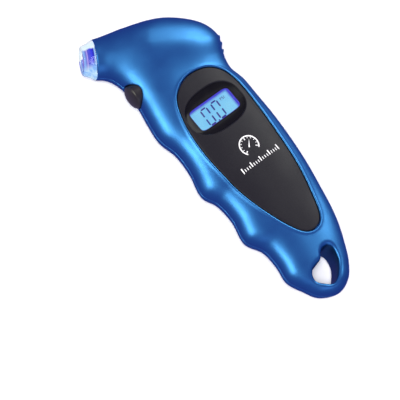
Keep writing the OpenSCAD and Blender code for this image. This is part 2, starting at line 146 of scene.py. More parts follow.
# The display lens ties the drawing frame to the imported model.
lens_low, lens_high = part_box("display_lens")
SHIFT = np.array(
    [
        (lens_low.x + lens_high.x) / 2 / MM - DISPLAY_AT[0],
        (lens_low.y + lens_high.y) / 2 / MM - DISPLAY_AT[1],
        lens_high.z / MM - GLASS_TOP - LENS_T,
    ]
)


def to_frame(points):
    """Points of the drawing frame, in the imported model's frame in metres."""
    return (np.asarray(points, float) + SHIFT) * MM


# ---- curves ----


def spline(points, u):
    """Catmull-Rom curve through points[1:-1] at the places u."""
    p = np.asarray(points, float)
    u = np.asarray(u, float)
    i = np.clip(np.floor(u).astype(int), 0, len(p) - 4)
    t = u - i
    if p.ndim == 2:
        t = t[..., None]
    a, b, c, d = p[i], p[i + 1], p[i + 2], p[i + 3]
    return (
        2 * b + (c - a) * t + (2 * a - 5 * b + 4 * c - d) * t**2 + (3 * b - 3 * c + d - a) * t**3
    ) / 2


def closed_curve(points, spacing):
    """The closed curve through points, as points about evenly spaced along it."""
    q = np.array([points[-1], *points, points[0], points[1]], float)
    fine = spline(q, np.linspace(0, len(points), 40 * len(points) + 1))
    step = np.linalg.norm(np.diff(fine, axis=0), axis=1)
    length = np.concatenate([[0], np.cumsum(step)])
    count = int(round(length[-1] / spacing))
    at = np.arange(count) * length[-1] / count
    return np.stack([np.interp(at, length, fine[:, k]) for k in (0, 1)], -1)


def bulge(c, n):
    """A circle's coordinate turned into that of a superellipse of power n."""
    return np.sign(c) * abs(c) ** (2 / n)


def superellipse(half, n, count):
    """Points of a superellipse about the origin."""
    a = 2 * np.pi * (np.arange(count) + 0.5) / count
    return np.stack([half[0] * bulge(np.cos(a), n), half[1] * bulge(np.sin(a), n)], -1)


def run_length(x, y):
    """Length along a line of points, from its first."""
    return np.append(0, np.cumsum(np.hypot(np.diff(x), np.diff(y))))


def direction(degrees):
    """Unit vector at an angle in plan."""
    return np.array([math.cos(math.radians(degrees)), math.sin(math.radians(degrees))])


def outward(loop):
    """Unit normals of a closed loop in the plane, pointing out of it."""
    d = np.roll(loop, -1, 0) - np.roll(loop, 1, 0)
    n = np.stack([d[:, 1], -d[:, 0]], -1)
    n /= np.linalg.norm(n, axis=1)[:, None]
    x, y = loop[:, 0], loop[:, 1]
    area = np.sum(x * np.roll(y, -1) - np.roll(x, -1) * y)
    return n * np.sign(area)


def inside(points, loop):
    """True for each point that lies in the closed loop."""
    x, y = points[:, :1], points[:, 1:2]
    ax, ay = loop[:, 0], loop[:, 1]
    bx, by = np.roll(ax, -1), np.roll(ay, -1)
    crosses = (ay > y) != (by > y)
    at = (bx - ax) * (y - ay) / np.where(by == ay, 1e-12, by - ay) + ax
    return np.sum(crosses & (x < at), 1) % 2 == 1


def distance(points, loop):
    """Distance from each point to the closed loop, negative inside it."""
    a, b = loop, np.roll(loop, -1, 0)
    d = b - a
    best = np.full(len(points), 1e9)
    for part in np.array_split(np.arange(len(points)), max(1, len(points) // 4000)):
        p = points[part][:, None] - a
        t = np.clip(np.sum(p * d, -1) / np.sum(d * d, -1), 0, 1)
        best[part] = np.linalg.norm(p - t[..., None] * d, axis=-1).min(1)
    return np.where(inside(points, loop), -best, best)


def rim_steps(*degrees):
    """Places of rings across a rounded rim of radius 1, at these turns of it."""
    return 1 - np.cos(np.radians(degrees))


def roll_off(d, r):
    """Drop of a rounded edge of radius r at distance d in from it."""
    s = np.clip(1 - d / r, 0, 1)
    return r * (1 - np.sqrt(1 - s * s))


# ---- the body's skin ----

FINGER = [BACK_EDGE[0], TAIL_TIP, *FINGER_EDGE]
FINGER += [tuple(NOZZLE_AT - NOZZLE_END_R * NOZZLE_SIDE)]
FINGER += [tuple(np.array(FINGER[-1]) + 6 * NOZZLE_DIR)]
BACK = [FINGER_EDGE[0], TAIL_TIP, *BACK_EDGE]
BACK += [tuple(NOZZLE_AT + NOZZLE_END_R * NOZZLE_SIDE)]
BACK += [tuple(np.array(BACK[-1]) + 12 * NOZZLE_DIR)]
HALF = [-HALF_T[0], 0, *HALF_T, NOZZLE_END_R, NOZZLE_END_R]
ROUND = [ROUNDNESS[0], ROUNDNESS[0], *ROUNDNESS, 2, 2]
U_END = len(FINGER_EDGE) + 1
U_TABLE = np.linspace(0.01, U_END, 1200)

PANEL_HOLE = closed_curve(PANEL_LINE, 0.5)
PANEL_HOLE = PANEL_HOLE + PANEL_GAP * outward(PANEL_HOLE)
PANEL_EDGE = closed_curve(PANEL_LINE, 0.5)
HOLE_EDGE = closed_curve(HOLE_LINE, 0.45)
SCOOP_EDGE = superellipse(SCOOP_HALF, SCOOP_ROUND, 144) + DISPLAY_AT

PANEL_RIM_R = 0.5
BEAD_H = 0.22
BEAD_AT = 0.75
BEAD_W = 0.55
HOLE_RIM_R = 2.0
BUTTON_RIM_R = 0.6
DOOR_RIM_R = 0.4
# Past FLANK_X lie only the side walls. U_BUTTON and U_DOOR are the places of their openings.
FLANK_X = 15
U_BUTTON = 14.8
U_DOOR = 14.8
PARTING_R = 0.5
END_RIM_R = 0.3
LEAST_HALF = 0.2
FLAT_BLEND = 0.8
# Room left free of grid points about the rings of a rim.
RIM_ROOM = (-0.3, 0.25)
WALL_ROOM = (-0.5, 0.2)


def chord(u):
    """Middle and half of the line across the body at u."""
    a, b = spline(FINGER, u), spline(BACK, u)
    return (a + b) / 2, (b - a) / 2


def crown_at(p):
    """Extra height of the front over points in plan, growing away from the nozzle."""
    d = p - NOZZLE_AT
    s = np.clip((-(d @ NOZZLE_DIR) - CROWN_START) / CROWN_LEN, 0, 1)
    e = np.maximum(0, -(d @ NOZZLE_SIDE)) / CROWN_SIDE
    return CROWN * s * s * (3 - 2 * s) * np.exp(-e * e)


def locate(p):
    """Place u along the body, and share across it, of points in plan."""
    mid, half = chord(U_TABLE)
    us, shares = [], []
    for part in np.array_split(p, max(1, len(p) // 2000)):
        d = part[:, None] - mid
        f = d[..., 0] * half[:, 1] - d[..., 1] * half[:, 0]
        share = abs(np.sum(d * half, -1) / np.sum(half * half, -1))
        turn = f[:, :-1] * f[:, 1:] <= 0
        k = np.argmin(np.where(turn, share[:, :-1], 1e9), 1)
        row = np.arange(len(part))
        t = f[row, k] / (f[row, k] - f[row, k + 1])
        u = U_TABLE[k] + t * (U_TABLE[1] - U_TABLE[0])
        m, h = chord(u)
        us.append(u)
        shares.append(np.sum((part - m) * h, -1) / np.sum(h * h, -1))
    return np.concatenate(us), np.clip(np.concatenate(shares), -1, 1)


def plain_skin(u, v, up, top=0.0, side=0.0):
    """Points of the skin before its edges are worked: v runs from the finger edge to the back."""
    mid, half = chord(u)
    n = spline(ROUND, u)
    size = np.linalg.norm(half, axis=-1)
    across = -bulge(np.cos(v), n) * np.maximum(size - side, LEAST_HALF) / size
    p = mid + across[..., None] * half
    t = spline(HALF, u) * (1 if up > 0 else REAR_GAIN) - top
    if up > 0:
        t = t + crown_at(p)
    z = abs(np.sin(v)) ** (2 / n) * np.maximum(t, 0)
    return np.concatenate([p, z[..., None]], -1)


def height(p):
    """Height of the front's plain skin over points in plan."""
    u, share = locate(p)
    n = spline(ROUND, u)
    t = spline(HALF, u) + crown_at(p)
    return t * (1 - abs(share) ** n) ** (1 / n)


def button_reach(y, z):
    """Distance out of the button's opening, along the wall; negative inside it."""
    q = np.hypot((y - BUTTON_Y) / BUTTON_OPENING[0], (z - BUTTON_Z) / BUTTON_OPENING[1])
    return (q - 1) * BUTTON_OPENING.min()


def polar(half, n, angle):
    """Radius of a superellipse in a direction."""
    c, s = abs(np.cos(angle)) / half[0], abs(np.sin(angle)) / half[1]
    return 1 / (c**n + s**n) ** (1 / n)


def wall_line(u, z, up, back):
    """Points in plan of the skin's wall at heights z, at every u."""
    u, z = np.broadcast_arrays(u, z)
    crown = 0
    for _ in range(3):
        thick = spline(HALF, u) * (1 if up > 0 else REAR_GAIN) + crown
        v = np.arcsin(np.clip(z / thick, 0, 1) ** (spline(ROUND, u) / 2))
        p = plain_skin(u, np.pi - v if back else v, up)[..., :2]
        crown = crown_at(p) if up > 0 else 0
    return p, v


def opening_rings(up, outline, power, lift, rim, origin, along, middle, back):
    """Rings about an opening in one half's wall, as places u and v on its skin."""
    u = np.linspace(middle - 2.3, middle + 2.3, 160)
    rings = []
    for offset in np.append(-0.1, rim * rim_steps(24, 42, 58, 74, 90)):
        angle = np.linspace(-0.5, 1.5, 1441) * math.pi
        r = polar(outline * (1 + offset / outline.min()), power, angle)
        a, z = r * np.cos(angle), r * np.sin(angle) + up * lift
        a, z = a[z > 0], z[z > 0]
        z[[0, -1]] = 0
        s = run_length(a, z)
        even = np.linspace(0, s[-1], 48)
        a, z = np.interp(even, s, a), np.interp(even, s, z)
        p, v = wall_line(u, z[:, None], up, back)
        far = (p - origin) @ np.array(along)
        place = np.array([np.interp(t, row, u) for t, row in zip(a, far)])
        turn = np.array([np.interp(t, u, row) for t, row in zip(place, v)])
        turn[[0, -1]] = 0
        rings.append(np.column_stack([place, np.pi - turn if back else turn]))
    return rings


def wall_rings(up):
    """Rings about the button's and the door's openings on one half's skin."""
    at = (0, BUTTON_Y)
    rings = opening_rings(
        up, BUTTON_OPENING, 2, BUTTON_Z, BUTTON_RIM_R, at, (0, 1), U_BUTTON, False
    )
    return rings + opening_rings(
        up, DOOR_OPENING, DOOR_ROUND, 0, DOOR_RIM_R, DOOR_AT, DOOR_ALONG, U_DOOR, True
    )


def door_reach(p):
    """Distance out of the door's outline; negative inside it."""
    along = (p[..., :2] - DOOR_AT) @ DOOR_ALONG
    a, z, n = *DOOR_OPENING, DOOR_ROUND
    q = (abs(along / a) ** n + abs(p[..., 2] / z) ** n) ** (1 / n)
    return (q - 1) * DOOR_OPENING.min()


def worked_skin(u, v, up):
    """Points of the finished skin, with its rims, bead, parting edge and flat."""
    step = 0.002
    p = plain_skin(u, v, up)
    du = plain_skin(np.clip(u + step, 0, U_END), v, up) - plain_skin(u - step, v, up)
    dv = plain_skin(u, np.minimum(v + step, np.pi), up) - plain_skin(u, np.maximum(v - step, 0), up)
    n = np.cross(dv, du)
    n /= np.maximum(np.linalg.norm(n, axis=-1), 1e-9)[..., None]
    if up < 0:
        n[..., 2] = abs(n[..., 2])
    n[p[..., 2] < 0.02, 2] = 0
    sink = roll_off(p[..., 2], PARTING_R)
    end_size = np.linalg.norm(spline(FINGER, U_END) - spline(FINGER, U_END - 0.1)) * 10
    sink = np.maximum(sink, roll_off((U_END - u) * end_size, END_RIM_R))
    at_button = roll_off(button_reach(p[..., 1], up * p[..., 2]), BUTTON_RIM_R)
    at_door = roll_off(door_reach(p), DOOR_RIM_R)
    sink = np.maximum(sink, np.where(p[..., 0] < -FLANK_X, at_button, 0))
    sink = np.maximum(sink, np.where(p[..., 0] > FLANK_X, at_door, 0))
    flat = p.reshape(-1, 3)[:, :2]
    drop = roll_off(distance(flat, HOLE_EDGE), HOLE_RIM_R)
    if up > 0:
        near = distance(flat, PANEL_HOLE)
        bead = BEAD_H * np.exp(-(((near - BEAD_AT) / BEAD_W) ** 2))
        drop = drop + np.where(near > -0.01, roll_off(near, PANEL_RIM_R), 0) - bead
    p = p - n * sink[..., None]
    z = p[..., 2] - drop.reshape(p.shape[:-1])
    if up < 0:
        near = np.clip(1 - abs(z - BACK_DEPTH) / FLAT_BLEND, 0, 1)
        z = np.minimum(z, BACK_DEPTH) - FLAT_BLEND * near * near / 4
    p[..., 2] = np.maximum(z, 0) * up
    return p


def even_columns(spacing):
    """Angles across the body for columns about evenly spaced round a middle section."""
    v = np.linspace(0, np.pi, 4001)
    n, wide, tall, end = 2.6, 22, 12, 0.9
    s = run_length(-bulge(np.cos(v), n) * wide, abs(np.sin(v)) ** (2 / n) * tall)
    low = np.array([0, 0.03, 0.09, 0.18, 0.28, 0.4])
    low_v = np.arcsin((low / tall) ** (n / 2))
    count = int((s[-1] - 2 * end) / spacing)
    mid = np.interp(np.linspace(end, s[-1] - end, count), s, v)
    return np.concatenate([low_v, mid, np.pi - low_v[::-1]])


ROW_SCALE = 8.1
COLUMN_SCALE = 0.6
COLUMNS = even_columns(COLUMN_SCALE)
END_ROWS = U_END - np.array([0.3, 0.2, 0.12, 0.06, 0.02, 0]) / 9
ROWS = np.concatenate([[0.03, 0.06, 0.09], np.arange(0.12, U_END - 0.06, 0.05), END_ROWS])


def loop_edges(start, count):
    """Edges of a closed loop of points numbered from start."""
    return [(start + k, start + (k + 1) % count) for k in range(count)]


def triangulate(points, edges):
    """Triangles over points in the plane that respect the edges, as indices into the points."""
    out = geometry.delaunay_2d_cdt([Vector(p) for p in points], edges, [], 0, 1e-7, True)
    names = [o[0] for o in out[3]]
    return np.array([[names[k] for k in f] for f in out[2]])


def between(points, tris, outer, holes):
    """The triangles whose middles lie in the outer loop and in none of the holes."""
    middle = points[tris].mean(1)
    keep = inside(middle, outer)
    for loop in holes:
        keep &= ~inside(middle, loop)
    return tris[keep]


def fill(loops):
    """Triangles between closed loops in the plane, as indices into the loops' points in a row."""
    points = np.concatenate(loops)
    edges, start = [], 0
    for loop in loops:
        edges += loop_edges(start, len(loop))
        start += len(loop)
    return between(points, triangulate(points, edges), loops[0], loops[1:])


def lay_rings(rims, start):
    """Points of each rim's rings, the rings' edges, and the numbers of each rim's first ring."""
    parts, edges, firsts = [], [], []
    for loop, offsets in rims:
        away = outward(loop)
        firsts.append(start + np.arange(len(loop)))
        for offset in offsets:
            parts.append(loop + offset * away)
            edges += loop_edges(start, len(loop))
            start += len(loop)
    return parts, edges, firsts


def skin_patch(up, rims):
    """The whole skin of one side: places u and v, points, triangles, tags and inner rings.

    rims is a list of (loop in plan, offsets of its rings). A triangle's tag is 0 outside the
    rims and k + 1 in rim k."""
    u, v = np.meshgrid(ROWS, COLUMNS, indexing="ij")
    flat_u, flat_v = u.ravel(), v.ravel()
    skin = plain_skin(flat_u, flat_v, up)
    plan = skin[:, :2]
    keep = np.ones(len(flat_u), bool)
    edge = (flat_v == COLUMNS[0]) | (flat_v == COLUMNS[-1])
    for loop, offsets in rims:
        near = distance(plan, loop)
        keep &= (near > offsets[-1] + RIM_ROOM[1]) | (near < RIM_ROOM[0])
    keep |= edge
    reach = button_reach(skin[:, 1], up * skin[:, 2])
    keep &= (skin[:, 0] > -FLANK_X) | (reach > BUTTON_RIM_R + WALL_ROOM[1]) | (reach < WALL_ROOM[0])
    reach = door_reach(skin)
    keep &= (skin[:, 0] < FLANK_X) | (reach > DOOR_RIM_R + WALL_ROOM[1]) | (reach < WALL_ROOM[0])
    us, vs = [flat_u[keep]], [flat_v[keep]]
    edges, count = [], keep.sum()
    for ring in wall_rings(up):
        us.append(ring[:, 0])
        vs.append(ring[:, 1])
        ids = range(count, count + len(ring))
        edges += list(zip(ids, ids[1:]))
        count += len(ring)
    parts, rim_edges, rings = lay_rings(rims, count)
    u, share = locate(np.concatenate(parts))
    us.append(u)
    vs.append(np.arccos(np.clip(-np.sign(share) * abs(share) ** (spline(ROUND, u) / 2), -1, 1)))
    us, vs = np.concatenate(us), np.concatenate(vs)
    place = np.stack(
        [us * ROW_SCALE, np.interp(vs, COLUMNS, np.arange(len(COLUMNS))) * COLUMN_SCALE], -1
    )
    tris = triangulate(place, edges + rim_edges)
    middle = place[tris].mean(1)
    tag = np.zeros(len(tris), int)
    for k, ring in enumerate(rings):
        tag[inside(middle, place[ring])] = k + 1
    points = worked_skin(us, vs, up)
    return us, vs, points, tris, tag, rings


# ---- mesh helpers ----


def put(name, data):
    """A new object in the scene that shows the data."""
    ob = bpy.data.objects.new(name, data)
    bpy.context.scene.collection.objects.link(ob)
    return ob


def mesh_object(name, points, faces):
    """A mesh object from points in the drawing frame and a list of faces."""
    me = bpy.data.meshes.new(name)
    me.from_pydata([tuple(p) for p in to_frame(points)], [], [tuple(f) for f in faces])
    me.validate()
    return put(name, me)


def tidy_normals(ob):
    """Turns every face of a closed mesh outwards."""
    bm = bmesh.new()
    bm.from_mesh(ob.data)
    bmesh.ops.recalc_face_normals(bm, faces=bm.faces)
    bm.to_mesh(ob.data)
    bm.free()
    return ob


def in_order(picked, by):
    """Numbers of the picked points, sorted by another value of theirs."""
    ids = np.where(picked)[0]
    return ids[np.argsort(by[ids])]


def half_shell(name, up, rims, recess):
    """Closed block of one side of the body: skin, rim walls, recess floor and parting face."""
    us, vs, points, tris, tag, rings = skin_patch(up, rims)
    count = len(points)
    extra, faces = [], [tris[tag == 0]]

    def strip(top, low):
        for a, b, c, d in zip(top, np.roll(top, -1), np.roll(low, -1), low):
            faces.append([(a, b, c), (a, c, d)])

    hole = rings[0]
    hole_low = points[hole] * [1, 1, 0]
    low_ids = count + np.arange(len(hole))
    extra.append(hole_low)
    count += len(hole)
    strip(hole, low_ids)
    if recess:
        ring = rings[1]
        used = np.unique(tris[tag == 2])
        new_id = np.full(len(points), -1)
        new_id[used] = count + np.arange(len(used))
        p = plain_skin(us[used], vs[used], up)
        p[:, 2] -= recess
        extra.append(p)
        count += len(used)
        faces.append(new_id[tris[tag == 2]])
        strip(ring, new_id[ring])
    finger = in_order(vs == COLUMNS[0], us)
    back = in_order(vs == COLUMNS[-1], us)
    outline = np.concatenate([finger, back[::-1]])
    tri = fill([points[outline][:, :2], hole_low[:, :2]])
    names = np.concatenate([outline, low_ids])
    faces.append(names[tri])
    for u in (ROWS[0], ROWS[-1]):
        row = in_order(us == u, vs)
        faces.append([(row[0], row[k], row[k + 1]) for k in range(1, len(row) - 1)])
    points = np.concatenate([points, *extra])
    ob = mesh_object(name, points, np.concatenate([np.array(f) for f in faces]))
    return tidy_normals(ob)


def boolean(ob, cutters, kind="DIFFERENCE"):
    """Cuts an object with others, or joins them to it; the others are then removed."""
    for cutter in cutters:
        mod = ob.modifiers.new("cut", "BOOLEAN")
        mod.operation = kind
        mod.solver = "MANIFOLD"
        mod.object = cutter
        bpy.context.view_layer.update()
        dg = bpy.context.evaluated_depsgraph_get()
        me = bpy.data.meshes.new_from_object(ob.evaluated_get(dg))
        ob.modifiers.clear()
        old = ob.data
        ob.data = me
        me.name = ob.name
        bpy.data.meshes.remove(old)
        bpy.data.objects.remove(cutter)
    return ob


def ring_solid(name, rings, closed=False):
    """Closed mesh through rings of points: ends capped, or joined to each other if closed."""
    rings = np.asarray(rings, float)
    count, m = rings.shape[:2]
    faces = []
    for i in range(count if closed else count - 1):
        a, b = i * m, (i + 1) % count * m
        for j in range(m):
            k = (j + 1) % m
            faces.append((a + j, a + k, b + k, b + j))
    if not closed:
        faces.append(tuple(range(m)))
        faces.append(tuple(range((count - 1) * m, count * m)))
    return tidy_normals(mesh_object(name, rings.reshape(-1, 3), faces))


def at_height(loop, z):
    """A loop in plan, at a height."""
    return np.column_stack([loop, np.broadcast_to(z, len(loop))])


def prism(name, loop, z0, z1):
    """Upright prism over a loop in plan."""
    return ring_solid(name, [at_height(loop, z0), at_height(loop, z1)])


def turned(profile, centre, axis, sides, name, closed=False):
    """Solid turned about an axis: profile holds (radius, place along the axis)."""
    axis = np.asarray(axis, float) / np.linalg.norm(axis)
    helper = np.array([0, 0, 1.0]) if abs(axis[2]) < 0.9 else np.array([1.0, 0, 0])
    a = np.cross(axis, helper)
    a /= np.linalg.norm(a)
    b = np.cross(axis, a)
    w = 2 * np.pi * np.arange(sides) / sides
    spokes = np.cos(w)[:, None] * a + np.sin(w)[:, None] * b
    rings = [np.asarray(centre) + t * axis + max(r, 1e-3) * spokes for r, t in profile]
    return ring_solid(name, rings, closed)


def rod(x, y, r, z0, z1, sides=48):
    return turned([(r, z0), (r, z1)], (x, y, 0), (0, 0, 1), sides, "rod")


def slab(at, size, z0, z1):
    x, y = size[0] / 2, size[1] / 2
    loop = np.array([(-x, -y), (x, -y), (x, y), (-x, y)]) + at
    return prism("slab", loop, z0, z1)


def smooth(ob, angle=35):
    """Smooth shading with creases sharper than angle kept."""
    ob.data.shade_smooth()
    ob.data.set_sharp_from_angle(angle=math.radians(angle))
    return ob


def finish_piece(ob, body, slot, nodes=(), paint=None):
    """Attaches a piece to its body, gives it the slot's paint or another, and hides the CAD nodes it stands
    for.
    """
    ob.data.materials.clear()
    ob.data.materials.append(paint or PAINT[slot])
    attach(ob, body)
    if nodes:
        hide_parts(*nodes)
    return ob


# ---- materials ----


def material(name, **sockets):
    """A Principled material: constants go straight on the shader's sockets."""
    mat = bpy.data.materials.new(name)
    mat.use_nodes = True
    shader = mat.node_tree.nodes["Principled BSDF"]
    for key, value in sockets.items():
        socket = shader.inputs[key.replace("_", " ")]
        socket.default_value = (*value, 1) if isinstance(value, tuple) else value
    return mat


def node(mat, kind, **values):
    n = mat.node_tree.nodes.new(kind)
    for key, value in values.items():
        if key in n.inputs:
            n.inputs[key].default_value = value
        else:
            setattr(n, key, value)
    return n


def link(mat, a, b):
    mat.node_tree.links.new(a, b)


def coordinates(mat):
    """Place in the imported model's frame, in metres."""
    return node(mat, "ShaderNodeTexCoord").outputs["Object"]


def along_axis(mat, axis):
    """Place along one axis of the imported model's frame, in metres."""
    split = node(mat, "ShaderNodeSeparateXYZ")
    link(mat, coordinates(mat), split.inputs["Vector"])
    return split.outputs[axis]


def noise(mat, size, detail=3.0, roughness=0.5, stretch=None):
    """Noise whose grains are about size millimetres; stretch scales the axes."""
    n = node(mat, "ShaderNodeTexNoise", Scale=1 / (size * MM), Detail=detail, Roughness=roughness)
    place = coordinates(mat)
    if stretch:
        turn = node(mat, "ShaderNodeMapping")
        turn.inputs["Scale"].default_value = stretch
        link(mat, place, turn.inputs["Vector"])
        place = turn.outputs["Vector"]
    link(mat, place, n.inputs["Vector"])
    return n.outputs["Fac"]


def ramp(mat, fac, stops):
    """Colour ramp: stops are (place, colour)."""
    r = node(mat, "ShaderNodeValToRGB")
    marks = r.color_ramp.elements
    while len(marks) < len(stops):
        marks.new(0.5)
    for e, (place, colour) in zip(marks, stops):
        e.position = place
        e.color = (*colour, 1)
    link(mat, fac, r.inputs["Fac"])
    return r.outputs["Color"]


def spread(mat, fac, low, high, start=0.3, end=0.7):
    """Maps a factor to a range of numbers."""
    m = node(mat, "ShaderNodeMapRange")
    for key, value in zip(("From Min", "From Max", "To Min", "To Max"), (start, end, low, high)):
        m.inputs[key].default_value = value
    link(mat, fac, m.inputs["Value"])
    return m.outputs["Result"]


def mix(mat, fac, a, b):
    """Blend of two colours by a factor."""
    m = node(mat, "ShaderNodeMix", data_type="RGBA")
    link(mat, fac, m.inputs[0])
    link(mat, a, m.inputs[6])
    link(mat, b, m.inputs[7])
    return m.outputs[2]


def drive(mat, socket, value):
    link(mat, value, mat.node_tree.nodes["Principled BSDF"].inputs[socket])


def tint(mat, socket, field, dark, light, start=0.3, end=0.7):
    """Drives a colour from dark to light by a field."""
    drive(mat, socket, ramp(mat, field, [(start, dark), (end, light)]))


def gloss(mat, field, low, high):
    """Drives the roughness from low to high by a field."""
    drive(mat, "Roughness", spread(mat, field, low, high))


def bump(mat, fields):
    """Bump from (field, height in millimetres) pairs, one on the other."""
    last = None
    for field, depth in fields:
        b = node(mat, "ShaderNodeBump", Strength=1.0, Distance=depth * MM)
        link(mat, field, b.inputs["Height"])
        if last:
            link(mat, last, b.inputs["Normal"])
        last = b.outputs["Normal"]
    drive(mat, "Normal", last)


def plastic(name, colour, rough, grain, depth, wander=0.25, **more):
    """Moulded plastic: a fine grain, with colour and gloss that wander a little."""
    mat = material(name, Roughness=rough, **more)
    dark = tuple(c * (1 - wander) for c in colour)
    light = tuple(c * (1 + wander) for c in colour)
    tint(mat, "Base Color", noise(mat, 9, 4), dark, light)
    gloss(mat, noise(mat, 3, 5), rough * 0.85, rough * 1.15)
    bump(mat, [(noise(mat, grain, 2), depth), (noise(mat, 6, 2), depth * 0.6)])
    return mat


def metal(name, colour, rough, stretch=(1, 1, 1)):
    """Stamped or turned metal with fine drawn lines."""
    mat = material(name, Metallic=1.0)
    dark = tuple(c * 0.82 for c in colour)
    tint(mat, "Base Color", noise(mat, 2.5, 4), dark, colour)
    gloss(mat, noise(mat, 0.4, 4, 0.6, stretch), rough * 0.7, rough * 1.3)
    bump(mat, [(noise(mat, 0.25, 3, 0.6, stretch), 0.004)])
    return mat


def body_paint():
    """Satin metallic blue: fine flakes under a soft clear coat, with painted shade (a darker teal) on the
    lanyard hole's wall.
    """
    mat = material(
        "body_paint",
        Metallic=1.0,
        Specular_Tint=(0.45, 0.3, 0.8),
        Coat_Weight=0.15,
        Coat_Roughness=0.3,
    )
    flakes = node(mat, "ShaderNodeTexVoronoi", Scale=1 / (0.12 * MM))
    link(mat, coordinates(mat), flakes.inputs["Vector"])
    blues = [(0.0, (0.042, 0.23, 0.60)), (0.5, (0.050, 0.26, 0.66)), (1.0, (0.065, 0.30, 0.72))]
    # painted shade: darker teal blues for the lanyard hole's wall, standing in for the shade inside the
    # hole
    shaded_blues = [(0.0, (0.03, 0.19, 0.27)), (0.5, (0.035, 0.21, 0.30)), (1.0, (0.04, 0.23, 0.33))]
    lit_and_shaded = [ramp(mat, flakes.outputs["Distance"], shades) for shades in (blues, shaded_blues)]
    bore = node(mat, "ShaderNodeAttribute", attribute_name="bore")
    drive(mat, "Base Color", mix(mat, bore.outputs["Fac"], *lit_and_shaded))
    gloss(mat, noise(mat, 5, 5), 0.4, 0.46)
    bump(mat, [(flakes.outputs["Distance"], 0.0015), (noise(mat, 0.8, 3), 0.002)])
    return mat


COOL = (0.8, 0.82, 1.0)


def panel_plastic():
    """Charcoal inlay with the fine even texture of a spark-eroded mould."""
    mat = material("panel_plastic", Specular_IOR_Level=0.33, Specular_Tint=COOL)
    tint(mat, "Base Color", noise(mat, 0.35, 4), (0.008, 0.0075, 0.009), (0.013, 0.0125, 0.0145))
    gloss(mat, noise(mat, 12, 3), 0.42, 0.5)
    bump(mat, [(noise(mat, 0.22, 2), 0.012), (noise(mat, 0.7, 2), 0.006)])
    return mat


def bezel_gloss():
    """Gloss-black display surround with hairline wipe marks."""
    mat = material("bezel_gloss", Specular_IOR_Level=0.25, Specular_Tint=COOL)
    tint(mat, "Base Color", noise(mat, 4), (0.003,) * 3, (0.005,) * 3)
    marks = noise(mat, 0.9, 6, 0.7, (0.15, 1.6, 1))
    gloss(mat, marks, 0.26, 0.36)
    bump(mat, [(noise(mat, 3, 2), 0.004)])
    return mat


def clear_window():
    """Clear acrylic with very faint moulding waves."""
    mat = material("clear_window", Transmission_Weight=1.0, IOR=1.49, Base_Color=(0.96, 0.99, 1.0))
    gloss(mat, noise(mat, 2, 4), 0.0, 0.003)
    bump(mat, [(noise(mat, 8, 1), 0.003)])
    return mat


def lcd_face():
    """Backlit display: cyan, with a faint cell grid and violet light creeping in at two edges."""
    mat = material("lcd_face", Roughness=0.35, Emission_Strength=0.9)
    glow = ramp(mat, noise(mat, 7, 2), [(0.25, (0.19, 0.60, 0.97)), (0.75, (0.24, 0.70, 1.0))])
    corner = to_frame((*(DISPLAY_AT + WINDOW_HALF), 0))
    edge = node(mat, "ShaderNodeMath", operation="MAXIMUM")
    for k, axis in enumerate("XY"):
        near = spread(mat, along_axis(mat, axis), 0, 1, corner[k] - 1.5 * MM, corner[k] - 0.3 * MM)
        link(mat, near, edge.inputs[k])
    creep = ramp(mat, noise(mat, 3), [(0.3, (0.05, 0.04, 0.62)), (0.7, (0.08, 0.07, 0.75))])
    drive(mat, "Emission Color", mix(mat, edge.outputs["Value"], glow, creep))
    tint(mat, "Base Color", noise(mat, 7), (0.01,) * 3, (0.012,) * 3, 0, 1)
    bump(mat, [(noise(mat, 0.3, 2), 0.004)])
    return mat


def lcd_ink():
    """Dark blue of the switched-on segments."""
    mat = material("lcd_ink", Roughness=0.5, Specular_IOR_Level=0.2, Emission_Strength=1.0)
    tint(mat, "Base Color", noise(mat, 1), (0.005,) * 3, (0.007,) * 3, 0, 1)
    tint(mat, "Emission Color", noise(mat, 1.5), (0.02, 0.02, 0.24), (0.035, 0.03, 0.32))
    return mat


def liner_glow():
    """White frame round the display, lit blue-violet from the side: brightest low down."""
    mat = material("liner_glow", Roughness=0.6, Specular_IOR_Level=0.1, Emission_Strength=0.8)
    low, high = to_frame((0, 0, GLASS_TOP))[2], to_frame((0, 0, BEZEL_TOP))[2]
    up = spread(mat, along_axis(mat, "Z"), 0, 1, low, high)
    violets = [(0.0, (0.16, 0.2, 0.95)), (0.55, (0.08, 0.06, 0.75)), (1.0, (0.05, 0.04, 0.45))]
    drive(mat, "Emission Color", ramp(mat, up, violets))
    tint(mat, "Base Color", noise(mat, 1), (0.01, 0.01, 0.04), (0.02, 0.02, 0.06), 0, 1)
    return mat


def from_nozzle(mat, along):
    """Distance from the nozzle's end along a direction in plan, in millimetres."""
    turn = node(mat, "ShaderNodeMapping")
    turn.inputs["Location"].default_value = tuple(-c for c in to_frame((*NOZZLE_AT, 0)))
    link(mat, coordinates(mat), turn.inputs["Vector"])
    dot = node(mat, "ShaderNodeVectorMath", operation="DOT_PRODUCT")
    link(mat, turn.outputs["Vector"], dot.inputs[0])
    dot.inputs[1].default_value = (along[0] / MM, along[1] / MM, 0)
    return dot.outputs["Value"]


def clear_plastic():
    """Clear nozzle moulding: blue-tinted, with flow waves."""
    mat = material("clear_plastic", Transmission_Weight=1.0, IOR=1.38, Base_Color=(0.88, 0.96, 1.0))
    gloss(mat, noise(mat, 1.5, 4), 0.02, 0.09)
    bump(mat, [(noise(mat, 2.2, 2), 0.02)])
    return mat


